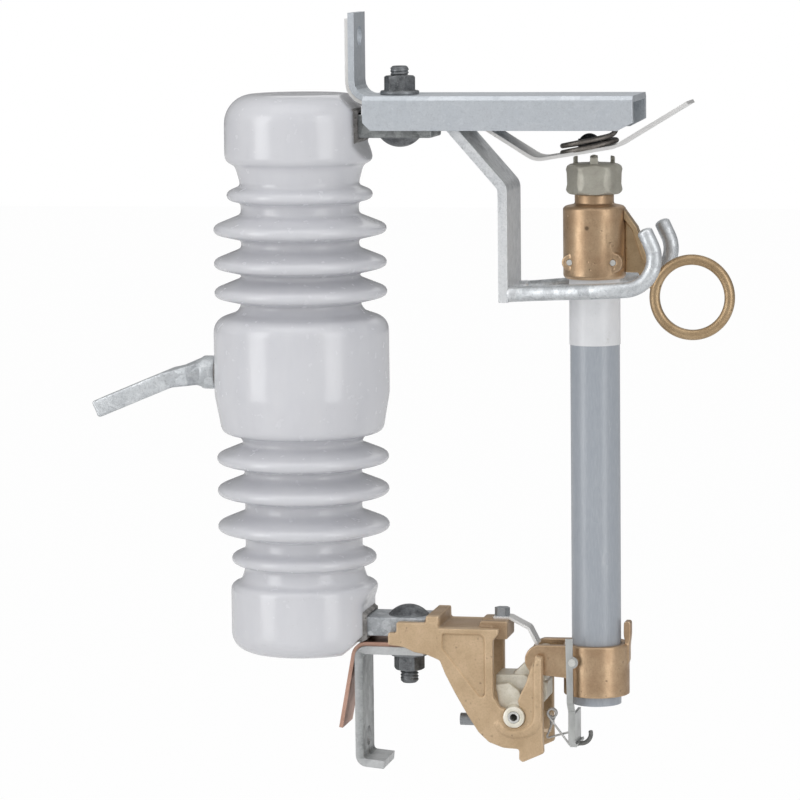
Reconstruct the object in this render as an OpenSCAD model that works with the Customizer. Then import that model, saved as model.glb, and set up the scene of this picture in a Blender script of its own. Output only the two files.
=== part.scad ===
// Drop-out fuse cutout, 15 kV class: a porcelain insulator with a fuse holder that swings out.
// Lengths are in millimetres. Shapes are drawn about the insulator's axis, with z = 0 at its
// middle band, and at_mount() moves them so that the origin is on the mounting strap's face.

/* [Insulator] */
// Height of the porcelain
insulator_h = 290; // [280:1:320]
// Radius of the large sheds
shed_r = 45; // [40:0.5:50]
// Radius of the small sheds beside the end bands
small_shed_r = 38; // [36:0.5:44]
// Radius of the core between the sheds
core_r = 30.5; // [28:0.5:33]
// Radius of the middle band
band_r = 45.5; // [42:0.5:50]
// Height of the middle band
band_h = 61; // [56:0.5:64]
// Radius of the top and bottom bands
end_r = 38.5; // [36:0.5:42]
// Height of the top and bottom bands
end_h = 36; // [30:1:40]
// Distance from the axis to the flat face that holds the upper insert
upper_face_x = 32.3; // [31:0.1:33.5]
// Distance from the axis to the flat face that holds the lower insert
lower_face_x = 34; // [33:0.1:36]
// Steps up from the middle band's edge to each shed above it
upper_shed_steps = [12, 15.2, 17.6, 17.6];
// Steps down from the middle band's edge to each shed below it
lower_shed_steps = [13.2, 16.9, 18.8, 17];
// Radius of a shed's edge
shed_tip = 2.8; // [2:0.1:3.4]
// Slope of a shed's upper side, in degrees
shed_top_slope = 22; // [16:1:26]
// Slope of a shed's underside, in degrees
shed_under_slope = 13; // [8:1:18]

/* [Mounting strap] */
// Width of the strap
strap_w = 32; // [28:1:40]
// Thickness of the strap
strap_t = 9.2; // [7:0.1:12]
// Flat length of the strap
strap_l = 41.5; // [39:0.5:60]
// Slope of the strap below level, in degrees
strap_tilt = 22.5; // [15:0.5:30]
// Diameter of the bolt hole in the strap
strap_hole_d = 14.3; // [11:0.1:17.5]
// Diameter of the round shank that is cemented into the porcelain
shank_d = 14; // [12:0.5:16]
// Diameter of the shank's collar
collar_d = 17.5; // [17:0.5:22]

/* [Metal inserts] */
// Thickness of the upper steel insert
upper_insert_t = 12; // [10:0.1:13]
// Thickness of the lower steel insert
lower_insert_t = 10; // [8:0.1:11]
// Width of the two steel inserts
insert_w = 26; // [22:1:28]
// Diameter of the two carriage bolts
bolt_d = 9.5; // [8:0.1:10]
// Diameter of a carriage bolt's head
bolt_head_d = 21; // [19:0.5:22]
// Distance from the axis to the upper bolt
upper_bolt_x = 53.3; // [52:0.1:55]
// Distance from the axis to the lower bolt
lower_bolt_x = 55.2; // [54:0.1:57]

/* [Top channel] */
// Length of the channel
channel_l = 138.5; // [130:0.5:150]
// Outer width of the channel
channel_w = 48; // [44:1:54]
// Outer height of the channel
channel_h = 17.5; // [15:0.5:20]
// Thickness of the channel's metal
channel_t = 3.2; // [2.5:0.1:3.6]
// Width of the terminal pads
terminal_w = 27; // [25:1:30]
// Diameter of the holes in the terminal pads
terminal_hole_d = 10.4; // [9:0.1:14]
// Height of the upper terminal pad above the channel
pad_h = 42; // [36:1:50]
// Height of the lower terminal pad, from the underside of its top
lower_pad_h = 57; // [52:1:62]
// Thickness of the upper contact strip
contact_t = 1.8; // [1.4:0.1:2]
// Width of the upper contact strip
contact_w = 26; // [24:1:28]
// Outer diameter of the contact spring
spring_d = 30; // [26:0.5:34]
// Diameter of the spring's wire
spring_wire_d = 2.6; // [2:0.1:3.2]

/* [Arc hooks] */
// Width of the plate that carries the hooks
hook_plate_w = 40; // [34:1:42]
// Thickness of the hook plate
hook_plate_t = 4.8; // [4:0.1:5]
// Diameter of the hook rods
hook_rod_d = 7.9; // [6:0.1:9]
// Distance between the two hooks, centre to centre
hook_span = 62; // [58:1:70]
// Radius of a hook's bend
hook_bend_r = 16; // [14:0.5:18]

/* [Fuse holder] */
// Distance from the insulator's axis to the fuse tube's axis
tube_x = 153.8; // [152:0.1:155]
// Outer diameter of the fuse tube
tube_d = 25.4; // [24:0.1:26]
// Bore of the fuse tube
tube_bore_d = 14.3; // [12:0.1:16]
// Radius of the upper ferrule
upper_ferrule_r = 16; // [15:0.1:17]
// Height of the upper ferrule
upper_ferrule_h = 38; // [34:0.5:40]
// Radius of the lower ferrule
lower_ferrule_r = 17; // [16:0.1:18]
// Height of the lower ferrule
lower_ferrule_h = 26.5; // [24:0.5:28]
// Radius of the threaded cap
cap_r = 14.4; // [13.5:0.1:15]
// Height of the threaded cap
cap_h = 15.3; // [13:0.1:16]
// Outer radius of the pull ring
ring_r = 21.9; // [20:0.1:24]
// Diameter of the pull ring's round section
ring_section_d = 5.7; // [5:0.1:6.5]

/* [Hinge] */
// Distance from the insulator's axis to the hinge's pivot
pivot_x = 113.7; // [113.2:0.1:114.2]
// Depth of the pivot below the middle band
pivot_drop = 174.3; // [173.8:0.1:174.8]
// Diameter of the trunnion's pivot bosses
pivot_d = 11.2; // [10:0.1:12]
// Clear width between the hinge's two walls
hinge_gap = 28; // [27:0.5:30]
// Thickness of the hinge's walls
hinge_wall_t = 5; // [4:0.1:7]
// Diameter of the toggle pin
toggle_d = 5; // [4:0.1:6]
// Diameter of the stud that clamps the fuse link
stud_d = 6.4; // [5:0.1:6.6]

/* [Fits] */
// Radial clearance in the pivots
pivot_fit = 0.06; // [0.03:0.01:0.09]
// Radial clearance round the carriage bolts
bolt_clear = 0.4; // [0.3:0.1:0.8]
// Radial clearance of pins that stay put
pin_clear = 0.02; // [0.01:0.01:0.03]
// Side clearance of the trunnion in the hinge
side_clear = 1; // [0.8:0.1:1.5]

/* [Hidden] */
$fn = 48;
eps = 0.01;

// --- Heights and places, worked out from the sizes above ---
top_z = insulator_h / 2;
bottom_z = -insulator_h / 2;
channel_top_z = top_z - 0.5;
web_z = channel_top_z - channel_t;
strip_z = web_z - contact_t;
upper_insert_top = strip_z - hook_plate_t;
upper_insert_z = upper_insert_top - upper_insert_t;
lower_insert_z = bottom_z + 9.8;
lower_insert_top = lower_insert_z + lower_insert_t;
insert_in = 10;
upper_insert_end = upper_bolt_x + 19;
lower_insert_end = lower_bolt_x + 11.6;
grout_wall = 3;
neck_band_r = 33;
grout_w = insert_w + 2 * grout_wall;
bolt_hole_r = bolt_d / 2 + bolt_clear;
bolt_head_h = 5.2;
nut_d = 16.2;
nut_h = 7.6;
washer_d = 20;
washer_t = 2;

// Mounting strap
collar_l = 7.8;
knee_x = -(band_r + collar_l + 14.3);
knee_z = -7.2;
strap_dir = [-cos(strap_tilt), -sin(strap_tilt)];
strap_up = [-sin(strap_tilt), cos(strap_tilt)];
strap_hole_at = strap_l - 18.5;
mount_xz = [knee_x, knee_z] + strap_hole_at * strap_dir;

// Top channel
channel_x = 38.6;
channel_end = channel_x + channel_l;
channel_low_z = channel_top_z - channel_h;
pad_face_x = 32.5;
pad_bend_r = 8.6;
pad_top_z = channel_top_z + pad_h;

// Fuse holder
cap_top_z = 109.1;
crown_h = 5.5;
crown_r = 10.6;
crown_dome_r = 30;
crown_top_z = cap_top_z + crown_h;
cap_z = cap_top_z - cap_h;
neck_h = 5;
neck_r = 10;
spigot_r = 8.8;
upper_ferrule_top = cap_z - neck_h;
upper_ferrule_z = upper_ferrule_top - upper_ferrule_h;
lower_ferrule_top = -137.6;
lower_ferrule_z = lower_ferrule_top - lower_ferrule_h;
tube_z = lower_ferrule_z - 5;
tube_top = upper_ferrule_top - 2.5;
ferrule_pin_z = upper_ferrule_z + 8.8;
ferrule_pin_dx = 11.1;
ferrule_boss_r = [4, 5];
ferrule_pin_r = 1.5;
ring_x = tube_x + 50;
ring_z = upper_ferrule_z - 9.5;
ring_mean_r = ring_r - ring_section_d / 2;

// Leaf of the upper contact: it lies on the cap's crown with a small gap
leaf_slope = 9.4;
leaf_gap = 0.3;
leaf_touch = [tube_x - crown_dome_r * sin(leaf_slope),
              crown_top_z - crown_dome_r * (1 - cos(leaf_slope)) + leaf_gap];
leaf_mid = leaf_touch + (contact_t / 2) * [-sin(leaf_slope), cos(leaf_slope)];
leaf_low = leaf_mid - 23.5 * [cos(leaf_slope), sin(leaf_slope)];
leaf_high = leaf_mid + 17.8 * [cos(leaf_slope), sin(leaf_slope)];
leaf_end = leaf_high + 43 * [cos(31), sin(31)];

// Hooks
hook_x = 112.2;
hook_rod_r = hook_rod_d / 2;
hook_low_z = 43.5;
hook_knee_z = 98;
hook_centre = [tube_x + 19, hook_low_z + 4 + hook_bend_r];
hook_turn = 25;
hook_tip_l = 9;

// Hinge
pivot = [pivot_x, -pivot_drop];
toggle = pivot + [12.4, 28.7];
half_gap = hinge_gap / 2;
half_out = half_gap + hinge_wall_t;
hinge_r = pivot_d / 2 + pivot_fit;
hub_half = half_gap - side_clear;
hub_r = 8.4;
body_half = 9;
lug_r = 5.5;
lug_half = 7.3;
arm_r = 7.8;
arm_in = 8;
arm_out = 13;
boss_l = 1.8;
bush_r = 3;
bush_in = 7;
arm_skin = 1.2;
hinge_web_t = 3.3;
hinge_web_z = lower_insert_z - hinge_web_t;
hinge_top_z = lower_insert_z + 6;
hinge_seat_x = pivot_x - 18.7;
hinge_seat_end = pivot_x - 4.7;
hinge_seat_half = 11;
hinge_seat_h = 6.4;
hinge_seat_z = hinge_top_z + 3.1;
hinge_screw_x = pivot_x - 9.1;
hinge_screw_d = 4;
hinge_leaf_t = 1.4;
hinge_leaf_w = 10;

// Lower terminal
copper_t = 2;
lower_terminal_t = 4.2;
copper_z = hinge_web_z - copper_t;
lower_terminal_z = copper_z - lower_terminal_t;

// Link stud
stud_z = pivot[1] - 5.6;
stud_l = 47.8;
stud_x = pivot_x - 31.5;

// Ejector: a lever on one side of the lower ferrule
ejector_pin_d = 4;
ejector_at = toggle + [17.8, 0.3];
ejector_t = 1.4;
ejector_l = 45;
ejector_y = lower_ferrule_r + 0.3 + ejector_t / 2;
ejector_low_y = half_gap - 0.6 - ejector_t / 2;
ejector_bolt_in = 10.3;

// --- Helpers ---
function unit(v) = v / norm(v);
function left_of(v) = [-v[1], v[0]];
function reversed(p) = [for (i = [len(p) - 1:-1:0]) p[i]];

// Points of a round bend of radius r at b, on the way from a to c
bend_steps = 5;
function bend_at(a, b, c, r) =
    let (u = unit(a - b), v = unit(c - b), half = acos(u * v) / 2,
         centre = b + unit(u + v) * (r / sin(half)),
         p = b + u * (r / tan(half)) - centre,
         q = b + v * (r / tan(half)) - centre,
         start = atan2(p[1], p[0]),
         sweep = ((atan2(q[1], q[0]) - start + 540) % 360) - 180)
    [for (i = [0:bend_steps])
        centre + r * [cos(start + sweep * i / bend_steps), sin(start + sweep * i / bend_steps)]];

function rounded_path(p, r) =
    concat([p[0]],
           [for (i = [1:len(p) - 2]) each bend_at(p[i - 1], p[i], p[i + 1], r)],
           [p[len(p) - 1]]);

// The path moved sideways by d, with mitred corners
function side_path(p, d) =
    [for (i = [0:len(p) - 1])
        let (before = left_of(unit(i > 0 ? p[i] - p[i - 1] : p[1] - p[0])),
             after = left_of(unit(i < len(p) - 1 ? p[i + 1] - p[i] : p[i] - p[i - 1])),
             n = unit(before + after))
        p[i] + n * (d / (n * before))];

module at_mount() {
    translate([-mount_xz[0], 0, -mount_xz[1]]) children();
}

// Extrudes a shape drawn in x and z across y, from y0 to y1
module slab(y0, y1) {
    translate([0, y1, 0]) rotate([90, 0, 0]) linear_extrude(y1 - y0) children();
}

// A bent strip of thickness t and width w, along the middle line path
module strip(path, t, w, bend_r) {
    line = rounded_path(path, bend_r);
    slab(-w / 2, w / 2)
        polygon(concat(side_path(line, -t / 2), reversed(side_path(line, t / 2))));
}

// A cylinder along y, centred on y = 0
module cross_pin(at, r, l) {
    translate([at[0], 0, at[1]]) rotate([90, 0, 0]) cylinder(r = r, h = l, center = true);
}

// A round rod of radius r along a path in space. Its sides are set out from the direction ref,
// which no stretch of the path may run along.
module swept_rod(path, r, sides, ref) {
    n = len(path) - 1;
    points = [for (i = [0:n])
        let (along = unit(path[min(i + 1, n)] - path[max(i - 1, 0)]),
             across = unit(cross(along, ref)),
             up = cross(across, along))
        each [for (k = [0:sides - 1])
            let (a = 360 * (k + 0.5) / sides)
            path[i] + r * (cos(a) * across + sin(a) * up)]];
    walls = [for (i = [0:n - 1], k = [0:sides - 1])
        let (m = (k + 1) % sides)
        [i * sides + k, i * sides + m, (i + 1) * sides + m, (i + 1) * sides + k]];
    first = [for (k = [sides - 1:-1:0]) k];
    last = [for (k = [0:sides - 1]) n * sides + k];
    polyhedron(points, concat([first, last], walls), convexity = 6);
}

module ring_plate(r, hole_r, h) {
    difference() {
        cylinder(r = r, h = h);
        translate([0, 0, -1]) cylinder(r = hole_r, h = h + 2);
    }
}

// --- Insulator ---
function arc(centre, r, from, to, steps) =
    [for (i = [0:steps])
        let (a = from + (to - from) * i / steps) centre + r * [cos(a), sin(a)]];

// Sum of a list's entries from the first up to entry i
function sum_to(steps, i) = i < 0 ? 0 : steps[i] + sum_to(steps, i - 1);

// One shed, from its underside at the core out round its edge and back along its upper side
function shed(z, r) =
    let (centre = [r - shed_tip, z],
         edge = arc(centre, shed_tip, -90 + shed_under_slope, 90 - shed_top_slope, 6),
         low = edge[0], high = edge[len(edge) - 1])
    concat([[core_r, low[1] - (low[0] - core_r) * tan(shed_under_slope)]],
           edge,
           [[core_r, high[1] + (high[0] - core_r) * tan(shed_top_slope)]]);

// Outline of the porcelain from its bottom to its top
function insulator_outline() =
    let (below = [for (i = [0:3]) sum_to(lower_shed_steps, i)],
         above = [for (i = [0:3]) sum_to(upper_shed_steps, i)],
         low_band = bottom_z + end_h,
         high_band = top_z - end_h,
         half = band_h / 2)
    concat(
        [[0, bottom_z]],
        arc([end_r - 10, bottom_z + 10], 10, -90, 0, 5),
        arc([end_r - 3, low_band - 3], 3, 0, 90, 3),
        [[neck_band_r, low_band + 1]],
        shed(-half - below[3], small_shed_r),
        [for (i = [2:-1:0]) each shed(-half - below[i], shed_r)],
        [[neck_band_r, -half - 1.5]],
        arc([band_r - 6.5, -half + 3.5], 3.5, -80, 0, 3),
        [[band_r, -half / 3]],
        arc([band_r - 8, half - 8], 8, 0, 80, 5),
        [[neck_band_r, half + 2]],
        [for (i = [0:2]) each shed(half + above[i], shed_r)],
        shed(half + above[3], small_shed_r),
        [[neck_band_r, high_band - 1.5]],
        arc([end_r - 4, high_band + 4], 4, -90, 0, 3),
        arc([end_r - 15, top_z - 15], 15, 0, 90, 7),
        [[0, top_z]]);

// A flat face on the side of an end band: flared towards the sheds, bevelled at the band's end
module face_cut(side, face_x, bevel) {
    z_end = side * top_z;
    out = end_r + 1;
    slab(-end_r, end_r)
        polygon([[out, z_end + side], [face_x - bevel - 1, z_end + side],
                 [face_x, z_end - side * bevel], [face_x, z_end - side * (end_h - 10)],
                 [out, z_end - side * (end_h + 1)]]);
}

module grout_body(z, insert_t, face_x) {
    translate([insert_in - 3, -grout_w / 2, z - grout_wall])
        cube([face_x - insert_in + 3, grout_w, insert_t + 2 * grout_wall]);
}

module grout(z, insert_t, face_x) {
    color([0.35, 0.36, 0.36])
        difference() {
            union() {
                grout_body(z, insert_t, face_x);
                translate([face_x, -grout_w / 2 + 1, z - grout_wall + 1])
                    cube([2, grout_w - 2, insert_t + 2 * grout_wall - 2]);
            }
            translate([insert_in, -insert_w / 2, z]) cube([face_x, insert_w, insert_t]);
        }
}

module insulator() {
    color([0.79, 0.80, 0.82])
        difference() {
            rotate_extrude($fn = 96) polygon(insulator_outline());
            face_cut(1, upper_face_x, 8.5);
            face_cut(-1, lower_face_x, 10.5);
            grout_body(upper_insert_z, upper_insert_t, upper_face_x);
            grout_body(lower_insert_z, lower_insert_t, lower_face_x);
            translate([-band_r - 1, 0, 0]) rotate([0, 90, 0])
                cylinder(d = collar_d, h = band_r - 18 + 1);
        }
}

// --- Mounting strap ---
module bracket_grout() {
    color([0.35, 0.36, 0.36])
        translate([-band_r, 0, 0]) rotate([0, 90, 0])
            difference() {
                cylinder(d = collar_d, h = band_r - 18);
                translate([0, 0, -1])
                    cylinder(d = shank_d + 2 * pin_clear, h = band_r - 22 + 1);
            }
}

module mounting_bracket() {
    end_low = [knee_x, knee_z] + strap_l * strap_dir;
    end_high = end_low + strap_t * strap_up;
    knee_high = [knee_x, knee_z] + strap_t * strap_up;
    collar_x = -band_r - collar_l;
    neck_half = 6.1;
    neck_inset = 0.3;
    neck_wide = strap_w / 2 - neck_inset;
    neck_low = [knee_x, knee_z] + neck_inset * strap_up;
    neck_high = knee_high - neck_inset * strap_up;
    color([0.62, 0.64, 0.66])
        difference() {
            union() {
                translate([collar_x, 0, 0]) rotate([0, 90, 0])
                    cylinder(d = collar_d, h = collar_l);
                translate([collar_x, 0, 0]) rotate([0, 90, 0])
                    cylinder(d = shank_d, h = band_r - 22 + collar_l);
                intersection() {
                    slab(-strap_w, strap_w)
                        polygon([[collar_x + 1, -neck_half], [collar_x + 1, neck_half], neck_high,
                                 neck_high + 2 * strap_dir, neck_low + 2 * strap_dir, neck_low]);
                    translate([0, 0, knee_z - strap_w])
                        linear_extrude(2 * strap_w)
                            polygon([[collar_x + 1, neck_half], [knee_x, neck_wide],
                                     [knee_x - 10, neck_wide], [knee_x - 10, -neck_wide],
                                     [knee_x, -neck_wide], [collar_x + 1, -neck_half]]);
                }
                slab(-strap_w / 2, strap_w / 2)
                    polygon([[knee_x, knee_z], end_low, end_high, knee_high]);
            }
            translate([mount_xz[0], 0, mount_xz[1]]) rotate([0, -strap_tilt, 0])
                translate([0, 0, -strap_t])
                    cylinder(d = strap_hole_d, h = 3 * strap_t);
        }
}

// --- Inserts ---
module insert_bar(z, insert_t, end_x, bolt_x) {
    color([0.55, 0.57, 0.60])
        difference() {
            translate([insert_in, -insert_w / 2, z])
                cube([end_x - insert_in, insert_w, insert_t]);
            translate([bolt_x, 0, z - 1]) cylinder(r = bolt_hole_r, h = insert_t + 2);
        }
}

module upper_insert() {
    insert_bar(upper_insert_z, upper_insert_t, upper_insert_end, upper_bolt_x);
}

module lower_insert() {
    insert_bar(lower_insert_z, lower_insert_t, lower_insert_end, lower_bolt_x);
}

module upper_grout() { grout(upper_insert_z, upper_insert_t, upper_face_x); }

module lower_grout() { grout(lower_insert_z, lower_insert_t, lower_face_x); }

// --- Bolts, washers and nuts ---
module bolt_head(r, h) {
    sphere_r = (r * r + h * h) / (2 * h);
    intersection() {
        translate([0, 0, h - sphere_r]) sphere(sphere_r, $fn = 64);
        cylinder(r = r + 1, h = h);
    }
}

// A carriage bolt with its head's flat side at z = 0, the shank upwards
module carriage_bolt(l) {
    color([0.42, 0.44, 0.46]) {
        mirror([0, 0, 1]) bolt_head(bolt_head_d / 2, bolt_head_h);
        cylinder(d = bolt_d, h = l);
    }
}

module washer() {
    color([0.5, 0.52, 0.54]) ring_plate(washer_d / 2, bolt_hole_r, washer_t);
}

module hex_nut(d, h, hole_r) {
    color([0.42, 0.44, 0.46])
        difference() {
            cylinder(d = d, h = h, $fn = 6);
            translate([0, 0, -1]) cylinder(r = hole_r, h = h + 2);
        }
}

module upper_bolt() {
    translate([upper_bolt_x, 0, upper_insert_z])
        carriage_bolt(channel_top_z - upper_insert_z + washer_t + nut_h + 5);
}

module upper_washer() { translate([upper_bolt_x, 0, channel_top_z]) washer(); }

module upper_nut() {
    translate([upper_bolt_x, 0, channel_top_z + washer_t])
        hex_nut(nut_d, nut_h, bolt_d / 2 + pin_clear);
}

module lower_bolt() {
    translate([lower_bolt_x, 0, lower_insert_top]) mirror([0, 0, 1])
        carriage_bolt(lower_insert_top - lower_terminal_z + washer_t + nut_h + 7);
}

module lower_washer() {
    translate([lower_bolt_x, 0, lower_terminal_z - washer_t]) washer();
}

module lower_nut() {
    translate([lower_bolt_x, 0, lower_terminal_z - washer_t - nut_h])
        hex_nut(nut_d, nut_h, bolt_d / 2 + pin_clear);
}

// --- Top channel, terminal, contact and hooks ---
// A channel whose web runs on at one end and turns up into the upper terminal pad
module top_channel() {
    half = channel_w / 2;
    mid_z = web_z + channel_t / 2;
    pad_x = pad_face_x - channel_t / 2;
    color([0.66, 0.69, 0.72])
        difference() {
            union() {
                slab(-half, half)
                    polygon([[channel_x, channel_top_z], [channel_end, channel_top_z],
                             [channel_end, channel_low_z + 4], [channel_end - 8, channel_low_z],
                             [channel_x + 4, channel_low_z], [channel_x, channel_low_z + 4]]);
                strip([[upper_bolt_x, mid_z], [pad_x, mid_z], [pad_x, pad_top_z]],
                      channel_t, terminal_w, pad_bend_r);
            }
            slab(channel_t - half, half - channel_t)
                translate([channel_x - 1, channel_low_z - 1])
                    square([channel_l + 2, channel_h - channel_t + 1]);
            for (side = [-1, 1])
                translate([channel_x - 1, side * half, channel_top_z]) rotate([45, 0, 0])
                    cube([2 * channel_l + 4, 3, 3], center = true);
            translate([upper_bolt_x, 0, web_z - 1])
                cylinder(r = bolt_hole_r, h = channel_t + 2);
            pad_hole();
        }
}

module pad_hole() {
    translate([pad_face_x + 1, 0, pad_top_z - 12]) rotate([0, -90, 0])
        cylinder(d = terminal_hole_d, h = channel_t + contact_t + 3);
}

module upper_contact() {
    mid_z = strip_z + contact_t / 2;
    pad_x = pad_face_x - channel_t - contact_t / 2;
    bend_x = leaf_low[0] - (mid_z - leaf_low[1]) / tan(32);
    color([0.80, 0.79, 0.75])
        difference() {
            strip([[pad_x, pad_top_z - 3], [pad_x, mid_z], [bend_x, mid_z],
                   leaf_low, leaf_high, leaf_end], contact_t, contact_w,
                  pad_bend_r + (channel_t + contact_t) / 2 - 0.3);
            translate([upper_bolt_x, 0, strip_z - 1])
                cylinder(r = bolt_hole_r, h = contact_t + 2);
            pad_hole();
        }
}

// The spring's turns lie on the leaf, then the wire climbs at the far end to the channel's web
spring_x = tube_x - 2.3;

module contact_spring() {
    turns = 2.3;
    stacked = 1.4;
    seated = 1.8;
    pitch = 3.4;
    rings_per_turn = 20;
    wire_r = spring_wire_d / 2;
    coil_r = spring_d / 2 - wire_r;
    function seat(x) = leaf_mid[1] + (x - leaf_mid[0]) * tan(leaf_slope)
                       + (contact_t / 2 + wire_r) / cos(leaf_slope) + 0.05;
    function climb(u) = max(0, min(1, (u - stacked) / (seated - stacked)));
    function ease(c) = c * c * (3 - 2 * c);
    function level(u, x) = (1 - ease(climb(u))) * (seat(x) + pitch * u)
                           + ease(climb(u)) * (web_z - wire_r - 0.05);
    path = [for (i = [0:turns * rings_per_turn])
        let (u = i / rings_per_turn, a = 180 + 360 * u, x = spring_x + coil_r * cos(a))
        [x, coil_r * sin(a), level(u, x)]];
    color([0.45, 0.45, 0.46]) swept_rod(path, wire_r, 10, [0, 0, 1]);
}

module spring_button() {
    r = 5.8;
    height = 9.4;
    under = contact_t / 2 / cos(leaf_slope);
    color([0.12, 0.12, 0.13])
        difference() {
            translate([spring_x, 0, leaf_mid[1] - 3])
                union() {
                    cylinder(r = r, h = height);
                    translate([0, 0, height - 3]) sphere(r);
                }
            slab(-10, 10)
                polygon([leaf_low + [0, under], leaf_high + [0, under],
                         leaf_high - [0, 12], leaf_low - [0, 12]]);
        }
}

module hook_plate() {
    mid_z = upper_insert_top + hook_plate_t / 2;
    mid_x = hook_x - hook_plate_t / 2;
    color([0.60, 0.63, 0.66])
        difference() {
            strip([[upper_bolt_x - 16, mid_z], [upper_insert_end + 3.2, mid_z],
                   [mid_x, hook_knee_z], [mid_x, hook_low_z - hook_rod_r]],
                  hook_plate_t, hook_plate_w, 6);
            translate([upper_bolt_x, 0, upper_insert_top - 1])
                cylinder(r = bolt_hole_r, h = hook_plate_t + 2);
        }
}

// A hook leaves the plate's foot, spreads outwards and bends up past the upper ferrule
module hook(side) {
    root_y = hook_plate_w / 2 - hook_rod_r;
    spread = hook_span / 2 - root_y;
    start = -86;
    bend = hook_centre + hook_bend_r * [cos(start), sin(start)];
    bend_end = hook_centre + hook_bend_r * [cos(hook_turn), sin(hook_turn)];
    run_steps = 8;
    bend_steps = 12;
    flat = concat(
        [for (i = [0:run_steps - 1])
            let (u = i / run_steps) [hook_x + 0.3, hook_low_z] * (1 - u) + bend * u],
        [for (i = [0:bend_steps])
            let (a = start + (hook_turn - start) * i / bend_steps)
            hook_centre + hook_bend_r * [cos(a), sin(a)]],
        [bend_end + hook_tip_l * [-sin(hook_turn), cos(hook_turn)]]);
    path = [for (p = flat)
        let (u = min(1, (p[0] - hook_x) / (bend[0] - hook_x)))
        [p[0], side * (root_y + spread * u * u * (3 - 2 * u)), p[1]]];
    color([0.62, 0.64, 0.66]) swept_rod(path, hook_rod_r, 16, [0, 1, 0]);
}

module hook_front() { hook(-1); }
module hook_back() { hook(1); }

// --- Hinge ---
// Outline of one hinge wall, in x and z
module hinge_outline() {
    x0 = lower_bolt_x - 7.5;
    x1 = lower_insert_end + 1;
    p = pivot + [-1.1, 0.6];
    right = p[0] + 15.9;
    top_end = pivot_x - 8.1;
    difference() {
        polygon([[x0, hinge_web_z], [x0, lower_insert_z + 3], [x0 + 4.5, lower_insert_z + 3],
                 [x0 + 4.5, hinge_top_z + 2.6], [x1 + 5.8, hinge_top_z + 2.6],
                 [x1 + 5.8, hinge_top_z], [top_end, hinge_top_z], [top_end, hinge_top_z - 2.4],
                 p + [-10, 38.4], p + [-10, 9.5], p + [-6.4, 3.9], p + [-0.4, 2], p + [4.1, 4.2],
                 p + [2.9, 7.5], p + [4.4, 11.4], p + [7.5, 17.5], p + [9.7, 25.2],
                 p + [12.3, 31.5], [right, p[1] + 30.6],
                 [right, p[1] - 12], [right + 0.4, p[1] - 19.4],
                 p + [5.2, -24.4], p + [3.4, -22.9], p + [3.6, -17.5],
                 p + [-4.7, -17.1], p + [-12.3, -14.3], p + [-17.7, -9.2],
                 p + [-23, -1], p + [-29.9, 11], p + [-35, 20.9],
                 [x1 + 7.1, hinge_web_z - 7.5], [x1 + 0.4, hinge_web_z - 4.7],
                 [x0 + 13.7, hinge_web_z - 3.5], [x0 + 8.4, hinge_web_z - 1]]);
        translate(pivot) circle(hinge_r);
    }
}

// Raised bead on the outside of a hinge wall, round the pivot and up the prong
module hinge_bead() {
    p = pivot;
    polygon([p + [11.6, 30.6], p + [14.4, 30.6], p + [14.2, 0], p + [13, -4.2], p + [10.9, -7.2],
             p + [7.9, -9.3], p + [4.2, -10.3], p + [0.5, -10.5], p + [-3.4, -9.9],
             p + [-6.8, -8.4], p + [-9.8, -4.2], p + [-8.3, -2.7], p + [-5.4, -6],
             p + [-2.6, -7.2], p + [0.5, -7.6], p + [4.9, -6.4], p + [7.6, -4.9],
             p + [9.4, -2.9], p + [10.4, 0.2], p + [10.4, 27]]);
}

// Shallow pocket in the outside of a hinge wall
module hinge_pocket() {
    p = pivot;
    polygon([p + [-37.5, 42.4], p + [-17.4, 42.4], p + [-15.6, 41], p + [-15.4, 38.8],
             p + [-15.4, 11], p + [-16.4, 9.6], p + [-18.2, 9.9], p + [-37.6, 34.6]]);
}

module hinge_casting() {
    pocket_d = 1.6;
    bead_h = 1.2;
    inner_x = lower_insert_end + 0.6;
    color([0.70, 0.58, 0.42])
        difference() {
            union() {
                slab(half_gap, half_out) hinge_outline();
                slab(-half_out, -half_gap) hinge_outline();
                slab(half_out - 1, half_out + bead_h) hinge_bead();
                slab(-half_out - bead_h, 1 - half_out) hinge_bead();
                translate([lower_bolt_x - 7.5, 1 - half_out, hinge_web_z])
                    cube([inner_x - lower_bolt_x + 8, 2 * half_out - 2, hinge_web_t]);
                translate([inner_x, 1 - half_out, hinge_web_z])
                    cube([7, 2 * half_out - 2, lower_insert_top - hinge_web_z + 2]);
                translate([inner_x, 1 - half_out, hinge_top_z - 4])
                    cube([hinge_seat_x + 6 - inner_x, 2 * half_out - 2, 4]);
                slab(-hinge_seat_half, hinge_seat_half)
                    polygon([[hinge_seat_x - 2, hinge_top_z - 3], [hinge_seat_x, hinge_seat_z],
                             [hinge_seat_end, hinge_seat_z],
                             [hinge_seat_end, hinge_top_z - hinge_seat_h],
                             [hinge_seat_x + 4, hinge_top_z - hinge_seat_h],
                             [hinge_seat_x + 4, hinge_top_z - 3]]);
                slab(-6, 6)
                    polygon([[hinge_seat_x, hinge_seat_z - 1], [hinge_seat_x, hinge_seat_z + 0.8],
                             [hinge_seat_x + 5.4, hinge_seat_z + 0.8],
                             [hinge_seat_x + 5.4, hinge_seat_z - 1]]);
            }
            slab(-half_out - 1, pocket_d - half_out) hinge_pocket();
            slab(half_out - pocket_d, half_out + 1) hinge_pocket();
            translate([lower_bolt_x, 0, hinge_web_z - 1])
                cylinder(r = bolt_hole_r, h = hinge_web_t + 2);
            translate([hinge_screw_x, 0, hinge_seat_z - 6])
                cylinder(d = hinge_screw_d + 2 * pin_clear, h = 8);
        }
}

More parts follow.
